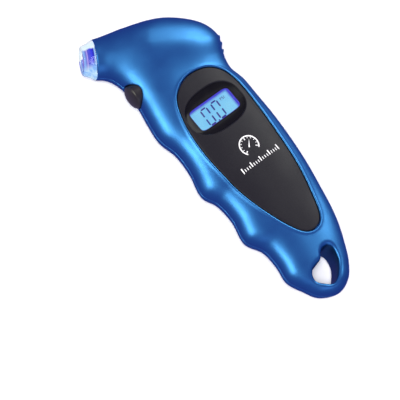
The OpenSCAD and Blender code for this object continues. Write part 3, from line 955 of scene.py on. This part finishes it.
def core_glow_and_highlights():
    """Ring in the tip, lit by the nozzle's light: deep blue by the body, violet by the lip; its pale bands
    and its white and light-blue sides are painted highlights.
    """
    mat = material("core_glow_and_highlights", Roughness=0.5, Specular_IOR_Level=0.1, Emission_Strength=1.0)
    wave = noise(mat, 3, 2)
    out = spread(mat, from_nozzle(mat, NOZZLE_DIR), 0, 1, 0, TIP_LEN)
    # the pale stops along the tip are painted highlights
    violet = [(0.0, (0.45, 0.75, 1.0)), (0.1, (0.3, 0.5, 0.9)), (0.14, (0.01, 0.01, 0.4))]
    violet += [(0.3, (0.02, 0.03, 0.75)), (0.45, (0.07, 0.07, 0.68))]
    violet += [(0.6, (0.10, 0.09, 0.60)), (0.66, (0.55, 0.42, 0.85)), (0.74, (0.14, 0.14, 0.62))]
    violet += [(0.86, (0.25, 0.45, 0.85)), (1.0, (0.45, 0.75, 0.95))]
    across = from_nozzle(mat, NOZZLE_SIDE)
    edge = node(mat, "ShaderNodeMath", operation="MULTIPLY_ADD")
    link(mat, wave, edge.inputs[0])
    edge.inputs[1].default_value = 2.4
    link(mat, across, edge.inputs[2])
    # painted highlight: white on one side of the tip
    white = spread(mat, edge.outputs["Value"], 0, 1, 3.4, 4.2)
    # painted highlight: light blue on the other side of the tip
    blue = spread(mat, edge.outputs["Value"], 1, 0, -4.6, -2.2)
    pale = ramp(mat, wave, [(0.3, (0.75, 0.95, 1.0)), (0.7, (1.0, 1.0, 1.0))])
    sky = ramp(mat, wave, [(0.35, (0.22, 0.48, 0.92)), (0.6, (0.65, 0.88, 1.0))])
    glow = mix(mat, blue, ramp(mat, out, violet), sky)
    drive(mat, "Emission Color", mix(mat, white, glow, pale))
    tint(mat, "Base Color", wave, (0.01, 0.01, 0.04), (0.02, 0.02, 0.06), 0, 1)
    return mat


def led_glow():
    """Violet-blue light-emitting diode."""
    mat = material("led_glow", Roughness=0.3, Emission_Strength=1.5)
    tint(mat, "Emission Color", noise(mat, 2), (0.1, 0.08, 0.9), (0.3, 0.3, 1.0))
    return mat


def print_white():
    """Pad-printed white ink, a little uneven."""
    mat = material("print_white", Specular_IOR_Level=0.4)
    tint(mat, "Base Color", noise(mat, 0.5, 4), (0.72,) * 3, (0.86,) * 3)
    gloss(mat, noise(mat, 0.6), 0.45, 0.6)
    bump(mat, [(noise(mat, 0.3), 0.006)])
    return mat


TRACK_STEP = 2.2


def board_green():
    """Solder mask with copper tracks showing through as lighter lines."""
    mat = material("board_green", Roughness=0.32)
    tracks = node(mat, "ShaderNodeTexWave", Scale=1 / (TRACK_STEP * MM) / 6.28, Distortion=6.0, Detail=1.0)
    link(mat, coordinates(mat), tracks.inputs["Vector"])
    lines = tracks.outputs["Fac"]
    tint(mat, "Base Color", lines, (0.006, 0.08, 0.035), (0.02, 0.17, 0.07), 0.55, 0.62)
    bump(mat, [(lines, 0.02)])
    return mat


PAINT = {
    "body_paint": body_paint(),
    "panel_plastic": panel_plastic(),
    "bezel_gloss": bezel_gloss(),
    "clear_window": clear_window(),
    "lcd": lcd_face(),
    "white_plastic": plastic("white_plastic", (0.62, 0.64, 0.66), 0.45, 0.3, 0.008, 0.08),
    "silicone_rubber": plastic("silicone_rubber", (0.55, 0.55, 0.53), 0.5, 0.4, 0.01, 0.1),
    "circuit_board": board_green(),
    "black_resin": plastic("black_resin", (0.012, 0.012, 0.013), 0.3, 0.8, 0.03),
    "chip_ceramic": plastic("chip_ceramic", (0.30, 0.22, 0.13), 0.5, 0.2, 0.01),
    "button_plastic": plastic(
        "button_plastic", (0.014, 0.013, 0.014), 0.34, 0.3, 0.006, Coat_Weight=0.3, Coat_Roughness=0.3
    ),
    "clear_plastic": clear_plastic(),
    "seal_rubber": plastic("seal_rubber", (0.012, 0.012, 0.012), 0.6, 0.2, 0.012),
    "brass": metal("brass", (0.78, 0.55, 0.22), 0.28, (1, 1, 12)),
    "led_resin": led_glow(),
    "spring_steel": metal("spring_steel", (0.66, 0.63, 0.55), 0.3, (1, 10, 1)),
    "cell_steel": metal("cell_steel", (0.72, 0.72, 0.74), 0.22, (1, 12, 1)),
    "red_insulation": plastic("red_insulation", (0.45, 0.02, 0.015), 0.4, 0.4, 0.006),
    "black_insulation": plastic("black_insulation", (0.015, 0.015, 0.017), 0.4, 0.4, 0.006),
    "screw_steel": metal("screw_steel", (0.36, 0.36, 0.38), 0.32, (1, 1, 10)),
}
LINER = liner_glow()
CORE = core_glow_and_highlights()
INK = lcd_ink()
WHITE_INK = print_white()

# ---- shells ----

RIM_STEPS = rim_steps(0, 18, 36, 54, 72, 90)
PANEL_RINGS = PANEL_RIM_R * RIM_STEPS
PANEL_RINGS = np.concatenate([PANEL_RINGS, [0.65, 0.8, 1.0, 1.3, 1.7, 2.1]])
HOLE_RINGS = HOLE_RIM_R * rim_steps(0, 15, 30, 45, 60, 75, 90)


def cavity(up, posts):
    """Hollow of one shell, less the wall of the lanyard hole and the posts."""
    v = np.linspace(0, np.pi, 25)
    rings = []
    for u in np.linspace(1, U_END + 0.02, 64):
        arc = plain_skin(np.full(len(v), u), v, up, FACE_WALL, SIDE_WALL)
        arc[:, 2] *= up
        rings.append(np.concatenate([arc, arc[-1:] - [0, 0, up], arc[:1] - [0, 0, up]]))
    block = ring_solid("cavity", rings)
    tube = prism("tube", HOLE_EDGE + HOLE_WALL * outward(HOLE_EDGE), -20, 20)
    return boolean(block, [tube, *posts])


def button_cutter():
    y, z = superellipse(BUTTON_OPENING, 2, 96).T + [[BUTTON_Y], [BUTTON_Z]]
    rings = [np.column_stack([np.full(len(y), x), y, z]) for x in (-30, -13)]
    return ring_solid("button_cutter", rings)


def on_door(x, y, z):
    """A point given in the door's frame, with x out of the wall."""
    c, s = DOOR_OUT
    return np.stack([DOOR_AT[0] + c * x - s * y, DOOR_AT[1] + s * x + c * y, z], -1)


def door_cutter():
    a, z = superellipse(DOOR_OPENING, DOOR_ROUND, 96).T
    return ring_solid("door_cutter", [on_door(np.full(len(a), x), a, z) for x in (-13, 6)])


def on_axis(name, profile, sides=96, closed=False):
    """Solid turned on the nozzle's axis."""
    return turned(profile, (*NOZZLE_AT, 0), (*NOZZLE_DIR, 0), sides, name, closed)


def shared_cutters():
    seat = [(6.9, 2), (6.9, -10.9), (7.8, -10.9), (7.8, -12.6), (6.9, -12.6), (6.9, -14)]
    return [button_cutter(), door_cutter(), on_axis("seat", seat)]


def mark_bore(ob):
    """Marks the wall of the lanyard hole, which gets painted shade."""
    flat = np.empty(3 * len(ob.data.vertices))
    ob.data.vertices.foreach_get("co", flat)
    plan = flat.reshape(-1, 3)[:, :2] / MM - SHIFT[:2]
    # painted shade goes on the points of the hole's wall
    shaded_wall = abs(distance(plan, HOLE_EDGE)) < BORE_NEAR
    ob.data.attributes.new("bore", "FLOAT", "POINT").data.foreach_set("value", shaded_wall.astype(float))


def front_shell():
    rims = [(HOLE_EDGE, HOLE_RINGS), (PANEL_HOLE, PANEL_RINGS)]
    ob = half_shell("front_body", 1, rims, PANEL_SINK + PANEL_T + 0.05)
    posts = [rod(x, y, 3, -2, 20) for x, y in CASE_SCREWS]
    posts += [rod(x, y, 2.4, BOARD_TOP + 0.05, 20) for x, y in BOARD_SCREWS]
    posts += [slab(DISPLAY_AT, (34, 25), 5.2, 20)]
    cuts = [cavity(1, posts), *shared_cutters()]
    cuts += [prism("scoop", SCOOP_EDGE, BEZEL_TOP - BEZEL_T, 20)]
    cuts += [slab(DISPLAY_AT, (WINDOW[0] + 2.7, WINDOW[1] + 2.8), GLASS_TOP - 0.01, 20)]
    cuts += [slab(DISPLAY_AT, (GLASS[0] + 0.4, GLASS[1] + 0.4), -1, GLASS_TOP)]
    cuts += [rod(x, y, 1.3, -1, 5.8, 24) for x, y in CASE_SCREWS]
    cuts += [rod(x, y, 1.0, -1, 6.3, 24) for x, y in BOARD_SCREWS]
    boolean(ob, cuts)
    mark_bore(ob)
    return finish_piece(smooth(ob), "housing", "body_paint", ["front_shell"])


def rear_shell():
    ob = half_shell("rear_body", -1, [(HOLE_EDGE, HOLE_RINGS)], 0)
    posts = [rod(x, y, 4.2, -20, 2) for x, y in CASE_SCREWS]
    posts += [slab((STACK[0], y), (11, 2), -20, -HOLDER_R - 0.05) for y in (22, 34)]
    cuts = [cavity(-1, posts), *shared_cutters()]
    for x, y in CASE_SCREWS:
        profile = [(3.8, -20), (3.8, -12.2), (3.55, -11.5), (3.2, -11.1), (3.1, -10.8), (3.1, SCREW_SEAT)]
        profile += [(1.5, SCREW_SEAT), (1.5, 1)]
        cuts.append(turned(profile, (x, y, 0), (0, 0, 1), 48, "screw_bore"))
    boolean(ob, cuts)
    mark_bore(ob)
    return finish_piece(smooth(ob), "housing", "body_paint", ["rear_shell"])


front_shell()
rear_shell()

# ---- display ----


def plan_mesh(rims, spacing, keep_out):
    """Points, triangles and rings of a region in plan.

    rims is a list of (loop, offsets): the first is the outside, with offsets inwards; the rest
    are holes, with offsets outwards."""
    outer = rims[0][0]
    low, high = outer.min(0), outer.max(0)
    xs = np.arange(low[0], high[0], spacing)
    ys = np.arange(low[1], high[1], spacing)
    gx, gy = np.meshgrid(xs, ys, indexing="ij")
    grid = np.stack([gx.ravel(), gy.ravel()], -1)
    keep = distance(grid, outer) < -rims[0][1][-1] - keep_out
    for loop, offsets in rims[1:]:
        keep &= distance(grid, loop) > offsets[-1] + keep_out
    parts, edges, rings = lay_rings([(outer, -rims[0][1]), *rims[1:]], keep.sum())
    points = np.concatenate([grid[keep], *parts])
    tris = between(points, triangulate(points, edges), outer, [loop for loop, _ in rims[1:]])
    return points, tris, rings


def plate(name, points, tris, rings, top, low, place=None):
    """Closed plate over a flat region, between two heights of its points, then put in place."""
    n = len(points)
    faces = [tris, tris[:, ::-1] + n]
    for ring in rings:
        nxt = np.roll(ring, -1)
        faces.append(np.stack([ring, nxt, nxt + n], -1))
        faces.append(np.stack([ring, nxt + n, ring + n], -1))
    both = np.concatenate([at_height(points, top), at_height(points, low)])
    both = place(both) if place else both
    return tidy_normals(mesh_object(name, both, np.concatenate(faces)))


PANEL_EDGE_R = 0.45
SCOOP_EDGE_R = 0.55


def face_panel():
    rims = [(PANEL_EDGE, PANEL_EDGE_R * RIM_STEPS), (SCOOP_EDGE, SCOOP_EDGE_R * RIM_STEPS)]
    points, tris, rings = plan_mesh(rims, 0.8, 0.2)
    skin = height(points)
    top = skin - PANEL_SINK - roll_off(-distance(points, PANEL_EDGE), PANEL_EDGE_R)
    top = top - roll_off(distance(points, SCOOP_EDGE), SCOOP_EDGE_R)
    ob = plate("inlay_panel", points, tris, rings, top, skin - PANEL_SINK - PANEL_T)
    return finish_piece(smooth(ob), "housing", "panel_plastic", ["face_panel"])


WINDOW_ROUND = 8
WINDOW_LIP_R = 0.35


def window_angles():
    corner = math.atan2(WINDOW_HALF[1], WINDOW_HALF[0])
    near = np.linspace(-0.12, 0.12, 13)
    corners = [corner, math.pi - corner, math.pi + corner, 2 * math.pi - corner]
    fine = np.concatenate([c + near for c in corners])
    even = np.linspace(0, 2 * math.pi, 120, endpoint=False)
    even = even[np.min(abs(even[:, None] - fine), 1) > 0.02]
    return np.sort(np.concatenate([even, fine]))


def around(angle, radius, z):
    """Points about the display's centre."""
    x = DISPLAY_AT[0] + radius * np.cos(angle)
    y = DISPLAY_AT[1] + radius * np.sin(angle)
    return np.column_stack([x, y, np.broadcast_to(z, x.shape)])


def display_bezel():
    """Black dish from the panel's edge down to the window's rim."""
    a = window_angles()
    outer = polar(SCOOP_HALF - 0.06, SCOOP_ROUND, a)
    inner = polar(WINDOW_HALF, WINDOW_ROUND, a)
    edge = around(a, outer, 0)
    rim_z = height(edge[:, :2]) - PANEL_SINK - SCOOP_EDGE_R - 0.05
    rings = [around(a, outer, BEZEL_TOP - BEZEL_T)]
    for s in np.concatenate([[0, 0.01, 0.03], np.linspace(0.06, 1, 22)]):
        r = outer + (inner + WINDOW_LIP_R - outer) * s
        rings.append(around(a, r, BEZEL_TOP + (rim_z - BEZEL_TOP) * (1 - s) ** 1.9))
    for turn in np.radians([30, 60, 90]):
        drop = WINDOW_LIP_R * (1 - math.cos(turn))
        rings.append(around(a, inner + WINDOW_LIP_R * (1 - math.sin(turn)), BEZEL_TOP - drop))
    rings.append(around(a, inner, BEZEL_TOP - BEZEL_T))
    ob = ring_solid("display_surround", rings, closed=True)
    return finish_piece(smooth(ob), "housing", "bezel_gloss", ["display_bezel"])


LINER_T = 0.2


def window_liner():
    """Thin light-guiding frame that lines the window."""
    a = window_angles()
    outer = polar(WINDOW_HALF - 0.01, WINDOW_ROUND, a)
    inner = polar(WINDOW_HALF - LINER_T, WINDOW_ROUND, a)
    low, high = BEZEL_TOP - BEZEL_T + 0.01, BEZEL_TOP - 0.5
    rings = [
        around(a, outer, low),
        around(a, outer, high),
        around(a, inner + 0.05, high),
        around(a, inner, high - 0.05),
        around(a, inner, low),
    ]
    ob = smooth(ring_solid("window_liner", rings, closed=True))
    return finish_piece(ob, "housing", "lcd", (), LINER)


def bevelled_block(name, at, size, z0, z1, corner, edge):
    """Slab with round corners in plan and small bevels on its edges."""
    count = 12
    turn = np.linspace(0, np.pi / 2, count)
    loops = []
    for inset, z in ((edge, z0), (0, z0 + edge), (0, z1 - edge), (edge, z1)):
        loop = []
        half = np.array(size) / 2 - inset
        r = corner - inset
        for sx, sy, start in ((1, 1, 0), (-1, 1, 90), (-1, -1, 180), (1, -1, 270)):
            c = np.array([sx, sy]) * (half - r)
            w = turn + math.radians(start)
            loop += [c + r * np.array([math.cos(t), math.sin(t)]) for t in w]
        loops.append(at_height(np.array(loop) + at, z))
    return smooth(ring_solid(name, loops), 30)


INK_T = 0.05
LENS_LIFT = 0.1


def display_lens():
    size = (WINDOW[0] + 2.5, WINDOW[1] + 2.6)
    ob = bevelled_block("clear_lens", DISPLAY_AT, size, GLASS_TOP + LENS_LIFT, GLASS_TOP + LENS_T, 1, 0.08)
    return finish_piece(ob, "housing", "clear_window", ["display_lens"])


def lcd_glass():
    low = bevelled_block("lcd_cell", DISPLAY_AT, GLASS, GLASS_TOP - 1.6, GLASS_TOP - 0.79, 0.4, 0.05)
    at = DISPLAY_AT + [0, 1.2]
    size = (GLASS[0], GLASS[1] - 2.4)
    boolean(low, [bevelled_block("upper", at, size, GLASS_TOP - 0.8, GLASS_TOP, 0.4, 0.05)], "UNION")
    return finish_piece(smooth(low, 30), "housing", "lcd", ["lcd_glass"])


def thin_plates(name, shapes, base, low, high):
    """Thin closed plates over outlines in plan: base gives the height under an outline's points."""
    points, faces = [], []
    for shape in shapes:
        shape = np.asarray(shape, float)
        n, start = len(shape), len(points)
        for lift in (low, high):
            points += list(at_height(shape, base(shape) + lift))
        for side in (start, start + n):
            faces += [tuple(side + k for k in t) for t in fill([shape])]
        faces += [(a, b, b + n, a + n) for a, b in loop_edges(start, n)]
    return tidy_normals(mesh_object(name, points, faces))


DIGIT_W = 3.9
DIGIT_H = 8.7
DIGIT_AT = [(-2.8, -0.2), (3.0, -0.2)]
SEGMENT_T = 0.72
SLANT = 0.045


def bar(a, b, t):
    """Segment between two points with pointed ends."""
    a, b = np.array(a, float), np.array(b, float)
    d = (b - a) / np.linalg.norm(b - a) * t / 2
    n = np.array([-d[1], d[0]])
    return [a, a + d - n, b - d - n, b, b - d + n, a + d + n]


def digit(at):
    """The six lit segments of a nought."""
    w, h = DIGIT_W / 2 - SEGMENT_T / 2, DIGIT_H / 2 - SEGMENT_T / 2
    gap = 0.22
    bars = []
    for sx in (-1, 1):
        for sy in (-1, 1):
            bars.append(bar((sx * w, sy * gap * 2.2), (sx * w, sy * (h - gap)), SEGMENT_T))
    for sy in (-1, 1):
        bars.append(bar((-w + gap, sy * h), (w - gap, sy * h), SEGMENT_T))
    return [[(at[0] + p[0] + SLANT * p[1], at[1] + p[1]) for p in b] for b in bars]


def strokes(lines, at, scale, t):
    """Letters drawn as straight strokes on a 2 by 4 grid."""
    out = []
    for a, b in lines:
        a, b = np.array(a) * scale + at, np.array(b) * scale + at
        d = (b - a) / np.linalg.norm(b - a) * t / 2
        n = np.array([-d[1], d[0]])
        out.append([a - d - n, b + d - n, b + d + n, a - d + n])
    return out


def lcd_marks():
    """The reading's digits, its point and the unit."""
    shapes = [s for at in DIGIT_AT for s in digit(at)]
    shapes.append(superellipse((0.3, 0.3), 4, 12) + [0.1, DIGIT_AT[0][1] - DIGIT_H / 2 + 0.3])
    grid = 0.26
    p = [((0, 0), (0, 4)), ((0, 4), (2, 4)), ((2, 4), (2, 2)), ((2, 2), (0, 2))]
    s = [((0, 0), (2, 0)), ((2, 0), (2, 2)), ((2, 2), (0, 2)), ((0, 2), (0, 4)), ((0, 4), (2, 4))]
    i = [((0, 0), (0, 4))]
    for k, letter in enumerate((p, s, i)):
        shapes += strokes(letter, np.array([6.6 + 1.05 * k, 2.4]), grid, 0.17)
    ob = thin_plates("lcd_digits", shapes, lambda p: GLASS_TOP + 0.01, 0, INK_T)
    return finish_piece(ob, "housing", "lcd", (), INK)


face_panel()
display_bezel()
window_liner()
display_lens()
lcd_glass()
lcd_marks()

# ---- printed mark on the panel ----

MARK_AT = np.array([1.6, -21.6])
MARK_R = 4.6
NEEDLE_ANGLE = 52
SCALE_AT = np.array([1.7, -29.1])
PRINT_T = 0.05


def arc_strip(centre, r0, r1, start, end, count):
    """Outline of a stretch of a flat ring."""
    turns = np.array([direction(a) for a in np.linspace(start, end, count + 1)])
    return np.concatenate([turns * r0, turns[::-1] * r1]) + centre


def printed_mark():
    """A plain dial pictogram with a scale under it, laid on the panel's face."""
    shapes = [arc_strip(MARK_AT, MARK_R - 0.55, MARK_R, -45, 225, 60)]
    for k, angle in enumerate(np.linspace(-35, 215, 11)):
        d = direction(angle)
        n = direction(angle + 90) * (0.2 if k % 5 == 0 else 0.13)
        inner = MARK_R - (1.75 if k % 5 == 0 else 1.35)
        r = MARK_AT + d * inner, MARK_AT + d * (MARK_R - 0.75)
        shapes.append([r[0] - n, r[1] - n, r[1] + n, r[0] + n])
    d, n = direction(NEEDLE_ANGLE), direction(NEEDLE_ANGLE + 90)
    shapes.append([MARK_AT - d * 0.9 - n * 0.32, MARK_AT + d * 3.0, MARK_AT - d * 0.9 + n * 0.32])
    for k in range(17):
        w, tall = (0.26, 2.3) if k % 4 == 0 else (0.17, 1.3)
        x = SCALE_AT[0] + (k - 8) * 1.24
        y = SCALE_AT[1] - 1.1
        shapes.append([(x - w, y), (x + w, y), (x + w, y + tall), (x - w, y + tall)])
    line = ((-10.2, -1.45), (10.2, -1.45), (10.2, -1.17), (-10.2, -1.17))
    shapes.append([(SCALE_AT[0] + x, SCALE_AT[1] + y) for x, y in line])
    ob = thin_plates("printed_mark", shapes, lambda p: height(p) - PANEL_SINK, -0.03, PRINT_T)
    return finish_piece(ob, "housing", "white_plastic", (), WHITE_INK)


printed_mark()

# ---- button ----


def power_button():
    """Egg-shaped dome on a skirt, with the tabs and stem behind it."""
    angles = 2 * np.pi * np.arange(96) / 96

    def ring(share, dx):
        y = BUTTON_Y + BUTTON_W / 2 * share * np.sin(angles)
        z = BUTTON_Z + BUTTON_H / 2 * share * np.cos(angles)
        return np.column_stack([np.full(96, WALL_X + dx), y, z])

    rings = [ring(1, SKIRT)]
    for turn in np.radians(np.linspace(0, 89, 24)):
        rings.append(ring(math.cos(turn), -BUTTON_PROUD * math.sin(turn)))
    ob = ring_solid("push_button", rings)
    tabs = [
        slab((WALL_X + 3.8, BUTTON_Y), (0.7, BUTTON_W + 2.6), -3, 3),
        turned([(2, WALL_X + 3), (2, SWITCH_X - 1.2)], (0, BUTTON_Y, SWITCH_Z), (1, 0, 0), 48, "stem"),
    ]
    boolean(ob, tabs, "UNION")
    return finish_piece(smooth(ob), "button", "button_plastic", ["power_button"])


power_button()

# ---- nozzle ----


def nozzle():
    """Clear moulding with a rounded lip and an open mouth."""
    r, turns = 0.55, np.radians([0, 20, 40, 60, 80])
    lip = [(6.65 - r * (1 - math.cos(t)), TIP_LEN - 0.75 + r * math.sin(t)) for t in turns]
    outside = [(2.6, -14), (2.6, -12.5), (7.6, -12.5), (7.6, -11), (6.8, -11), (6.8, 0.05)]
    outside += [(8.75, 0.05), (8.85, 0.3), (8.5, 0.9), (7.9, 1.8), (7.2, 3.3)]
    outside += lip + [(5.4, TIP_LEN)]
    bore_line = [(4.9, TIP_LEN), (4.4, TIP_LEN - 0.25), (MOUTH_R, TIP_LEN - 0.7), (MOUTH_R, -4), (3.9, -4)]
    bore_line += [(3.9, -6), (3.5, -6), (3.5, -7.2), (2.5, -7.2), (2.5, -9), (0.7, -9), (0.7, -20)]
    profile = outside + bore_line + [(1.3, -20), (1.3, -14)]
    ob = on_axis("clear_nozzle", profile, 128, closed=True)
    return finish_piece(smooth(ob, 28), "housing", "clear_plastic", ["nozzle"])


def nozzle_core():
    """Light guide inside the clear tip, lit from behind, with painted highlights in its glow."""
    profile = [(4.7, 0.3), (8.0, 0.3), (7.9, 0.7), (7.4, 1.6), (6.7, 3.0), (6.2, 4.0), (5.7, 4.6)]
    profile += [(5.1, 4.7), (4.75, 4.3), (4.7, 3.4)]
    ob = smooth(on_axis("light_guide", profile, 128, closed=True), 40)
    return finish_piece(ob, "housing", "led_resin", (), CORE)


def valve_seal():
    profile = [(1.9, -5.8), (1.9, -4.4), (2.3, -4.05), (2.6, -4), (3.5, -4), (3.75, -4.1), (3.88, -4.4)]
    profile += [(3.88, -5.7), (3.7, -5.95), (2.1, -5.98)]
    ob = smooth(on_axis("seal_ring", profile, 96, closed=True), 50)
    return finish_piece(ob, "housing", "seal_rubber", ["valve_seal"])


nozzle()
nozzle_core()
valve_seal()

# ---- battery door ----


def ridge_height(points):
    """Height of the grip ridges, out of the door's frame, over points given in that frame."""
    best = np.zeros(len(points))
    for at, angle in zip(RIDGE_AT, RIDGE_ANGLE):
        a = math.radians(angle)
        lean = -math.sin(a) * DOOR_ALONG[0] + math.cos(a) * DOOR_ALONG[1]
        across = (points[:, 0] - (np.array(at) - DOOR_AT) @ DOOR_ALONG) / lean
        s = np.clip(1 - (across / RIDGE_W) ** 2, 0, 1)
        ends = np.clip((6 - abs(points[:, 1])) / 1.2, 0, 1)
        best = np.maximum(best, RIDGE_H / lean * s**1.2 * ends * ends * (3 - 2 * ends))
    return best


def door_skin(points):
    """Distance out of the door's frame of the body's skin, over points given in that frame."""
    u = np.linspace(U_DOOR - 2.6, U_DOOR + 2.6, 160)
    skin = np.zeros(len(points))
    for up in (1, -1):
        mine = up * points[:, 1] >= 0
        p, _ = wall_line(u, abs(points[mine, 1])[:, None], up, True)
        far = (p - DOOR_AT) @ DOOR_ALONG
        away = (p - DOOR_AT) @ DOOR_OUT
        skin[mine] = [np.interp(t, a, b) for t, a, b in zip(points[mine, 0], far, away)]
    return skin


def battery_door():
    angle = 2 * np.pi * np.arange(160) / 160
    r = polar(DOOR_HALF, DOOR_ROUND, angle)
    outline = np.column_stack([r * np.cos(angle), r * np.sin(angle)])
    points, tris, rings = plan_mesh([(outline, DOOR_RIM_R * RIM_STEPS)], 0.2, 0.15)
    skin = door_skin(points)
    top = skin + ridge_height(points) - roll_off(-distance(points, outline), DOOR_RIM_R)
    low = skin - SIDE_WALL
    ob = plate("battery_cover", points, tris, rings, top, low, lambda q: on_door(*q.T[[2, 0, 1]]))
    return finish_piece(smooth(ob), "door", "body_paint", ["battery_door"])


battery_door()

# ---- screws ----


def case_screw(k, x, y):
    """Pan head with a cross recess on a plain shank."""
    seat = SCREW_SEAT
    head = [(2.5, 0), (2.6, 0.15), (2.6, 0.9), (2.45, 1.35), (2.1, 1.65), (1.5, 1.83), (0.6, 1.9), (0, 1.9)]
    profile = [(0, 4.8), (0.7, 4.8), (1.25, 4.2), (1.25, seat)] + [(r, seat - d) for r, d in head]
    ob = turned(profile, (x, y, 0), (0, 0, 1), 48, f"case_screw_{k}")
    cross = [slab((x, y), size, seat - 3, seat - 1.0) for size in ((2.4, 0.6), (0.6, 2.4))]
    boolean(ob, cross)
    nodes = ["case_screws"] if k == 1 else []
    return finish_piece(smooth(ob), "housing", "screw_steel", nodes)


for index, (sx, sy) in enumerate(CASE_SCREWS, 1):
    case_screw(index, sx, sy)

# ---- CAD nodes that carry over ----

CARRIED = {
    "white_plastic": "backlight_plate pressure_sensor switch_plunger",
    "silicone_rubber": "zebra_strip air_hose",
    "circuit_board": "main_board",
    "black_resin": "controller_chip button_switch battery_holder",
    "chip_ceramic": "chip_components",
    "brass": "depressor_pin",
    "led_resin": "nozzle_led",
    "spring_steel": "hose_clips positive_contact negative_contact",
    "cell_steel": "coin_cell_1 coin_cell_2 coin_cell_3",
    "red_insulation": "positive_lead",
    "black_insulation": "negative_lead",
    "screw_steel": "board_screws",
}
for slot, names in CARRIED.items():
    for name in names.split():
        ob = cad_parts[name]
        ob.data.materials.clear()
        ob.data.materials.append(PAINT[slot])

# ---- studio ----


def towards(tilt, turn):
    """Unit vector at an angle from +Z, and turned from +X."""
    tilt, turn = math.radians(tilt), math.radians(turn)
    return np.array(
        [math.sin(tilt) * math.cos(turn), math.sin(tilt) * math.sin(turn), math.cos(tilt)]
    )


VIEW_BACK = towards(22.2, 204.4)
X_ANGLE = math.radians(36.2)
FRAME_WIDTH = 172.2
AIM = (-6.4, -39.3)
LENS_MM = 180
SENSOR_MM = 36
FLOOR_HALF = 3.0


def camera_axes():
    """Camera's right and up directions: the gauge's +X runs up-right at X_ANGLE."""
    right = np.cross([0, 1, 0], VIEW_BACK)
    right /= np.linalg.norm(right)
    up = np.cross(VIEW_BACK, right)
    turn = math.atan2(up[0], right[0]) - X_ANGLE
    return (
        math.cos(turn) * right + math.sin(turn) * up,
        math.cos(turn) * up - math.sin(turn) * right,
    )


def make_camera():
    right, up = camera_axes()
    target = np.array([0, 0, 12]) + AIM[0] * right + AIM[1] * up
    reach = FRAME_WIDTH / 2 / (SENSOR_MM / 2 / LENS_MM)
    data = bpy.data.cameras.new("camera")
    data.lens = LENS_MM
    data.sensor_width = SENSOR_MM
    data.clip_start, data.clip_end = 0.05, 10
    cam = put("camera", data)
    turn = Matrix([right, up, VIEW_BACK]).transposed().to_4x4()
    cam.matrix_world = Matrix.Translation(to_frame(target + VIEW_BACK * reach)) @ turn
    bpy.context.scene.camera = cam


def area_light(name, tilt, turn, reach, size, glow, colour, glossy=True):
    """Softbox facing the gauge from a direction; reach and size in metres."""
    d = Vector(towards(tilt, turn))
    data = bpy.data.lights.new(name, "AREA")
    data.shape = "RECTANGLE"
    data.size, data.size_y = size
    data.energy = glow * math.pi * size[0] * size[1]
    data.color = colour
    ob = put(name, data)
    ob.location = Vector(to_frame((0, -15, 0))) + d * reach
    ob.rotation_mode = "QUATERNION"
    ob.rotation_quaternion = d.to_track_quat("Z", "Y")
    ob.visible_glossy = glossy


def studio():
    """Two softboxes beside the gauge, a weak fill, and a front light that only whitens."""
    warm = (1, 1, 0.78)
    area_light("left_box", 57, 163, 0.8, (0.55, 0.36), 5.6, warm)
    area_light("right_box", 50, 14, 0.8, (0.5, 0.6), 3.7, warm)
    area_light("fill_box", 72, 250, 0.8, (0.7, 0.5), 0.7, (0.9, 0.95, 1.0))
    area_light("front_light", 22, 204, 1.2, (0.35, 0.35), 39, (0.99, 0.99, 1.0), False)
    corners = [(x * FLOOR_HALF, y * FLOOR_HALF, 0) for x, y in ((-1, -1), (1, -1), (1, 1), (-1, 1))]
    me = bpy.data.meshes.new("floor")
    me.from_pydata(corners, [], [(0, 1, 2, 3)])
    floor = put("floor", me)
    floor.visible_glossy = False
    mat = material("floor", Roughness=0.8, Specular_IOR_Level=0.1)
    tint(mat, "Base Color", noise(mat, 60), (0.88,) * 3, (0.9,) * 3)
    me.materials.append(mat)
    world = bpy.data.worlds.new("world")
    world.use_nodes = True
    sky = world.node_tree.nodes["Background"].inputs
    sky["Color"].default_value = (0.59, 0.48, 1.0, 1)
    sky["Strength"].default_value = 0.33
    bpy.context.scene.world = world
    bpy.context.scene.view_settings.view_transform = "Standard"


make_camera()
studio()
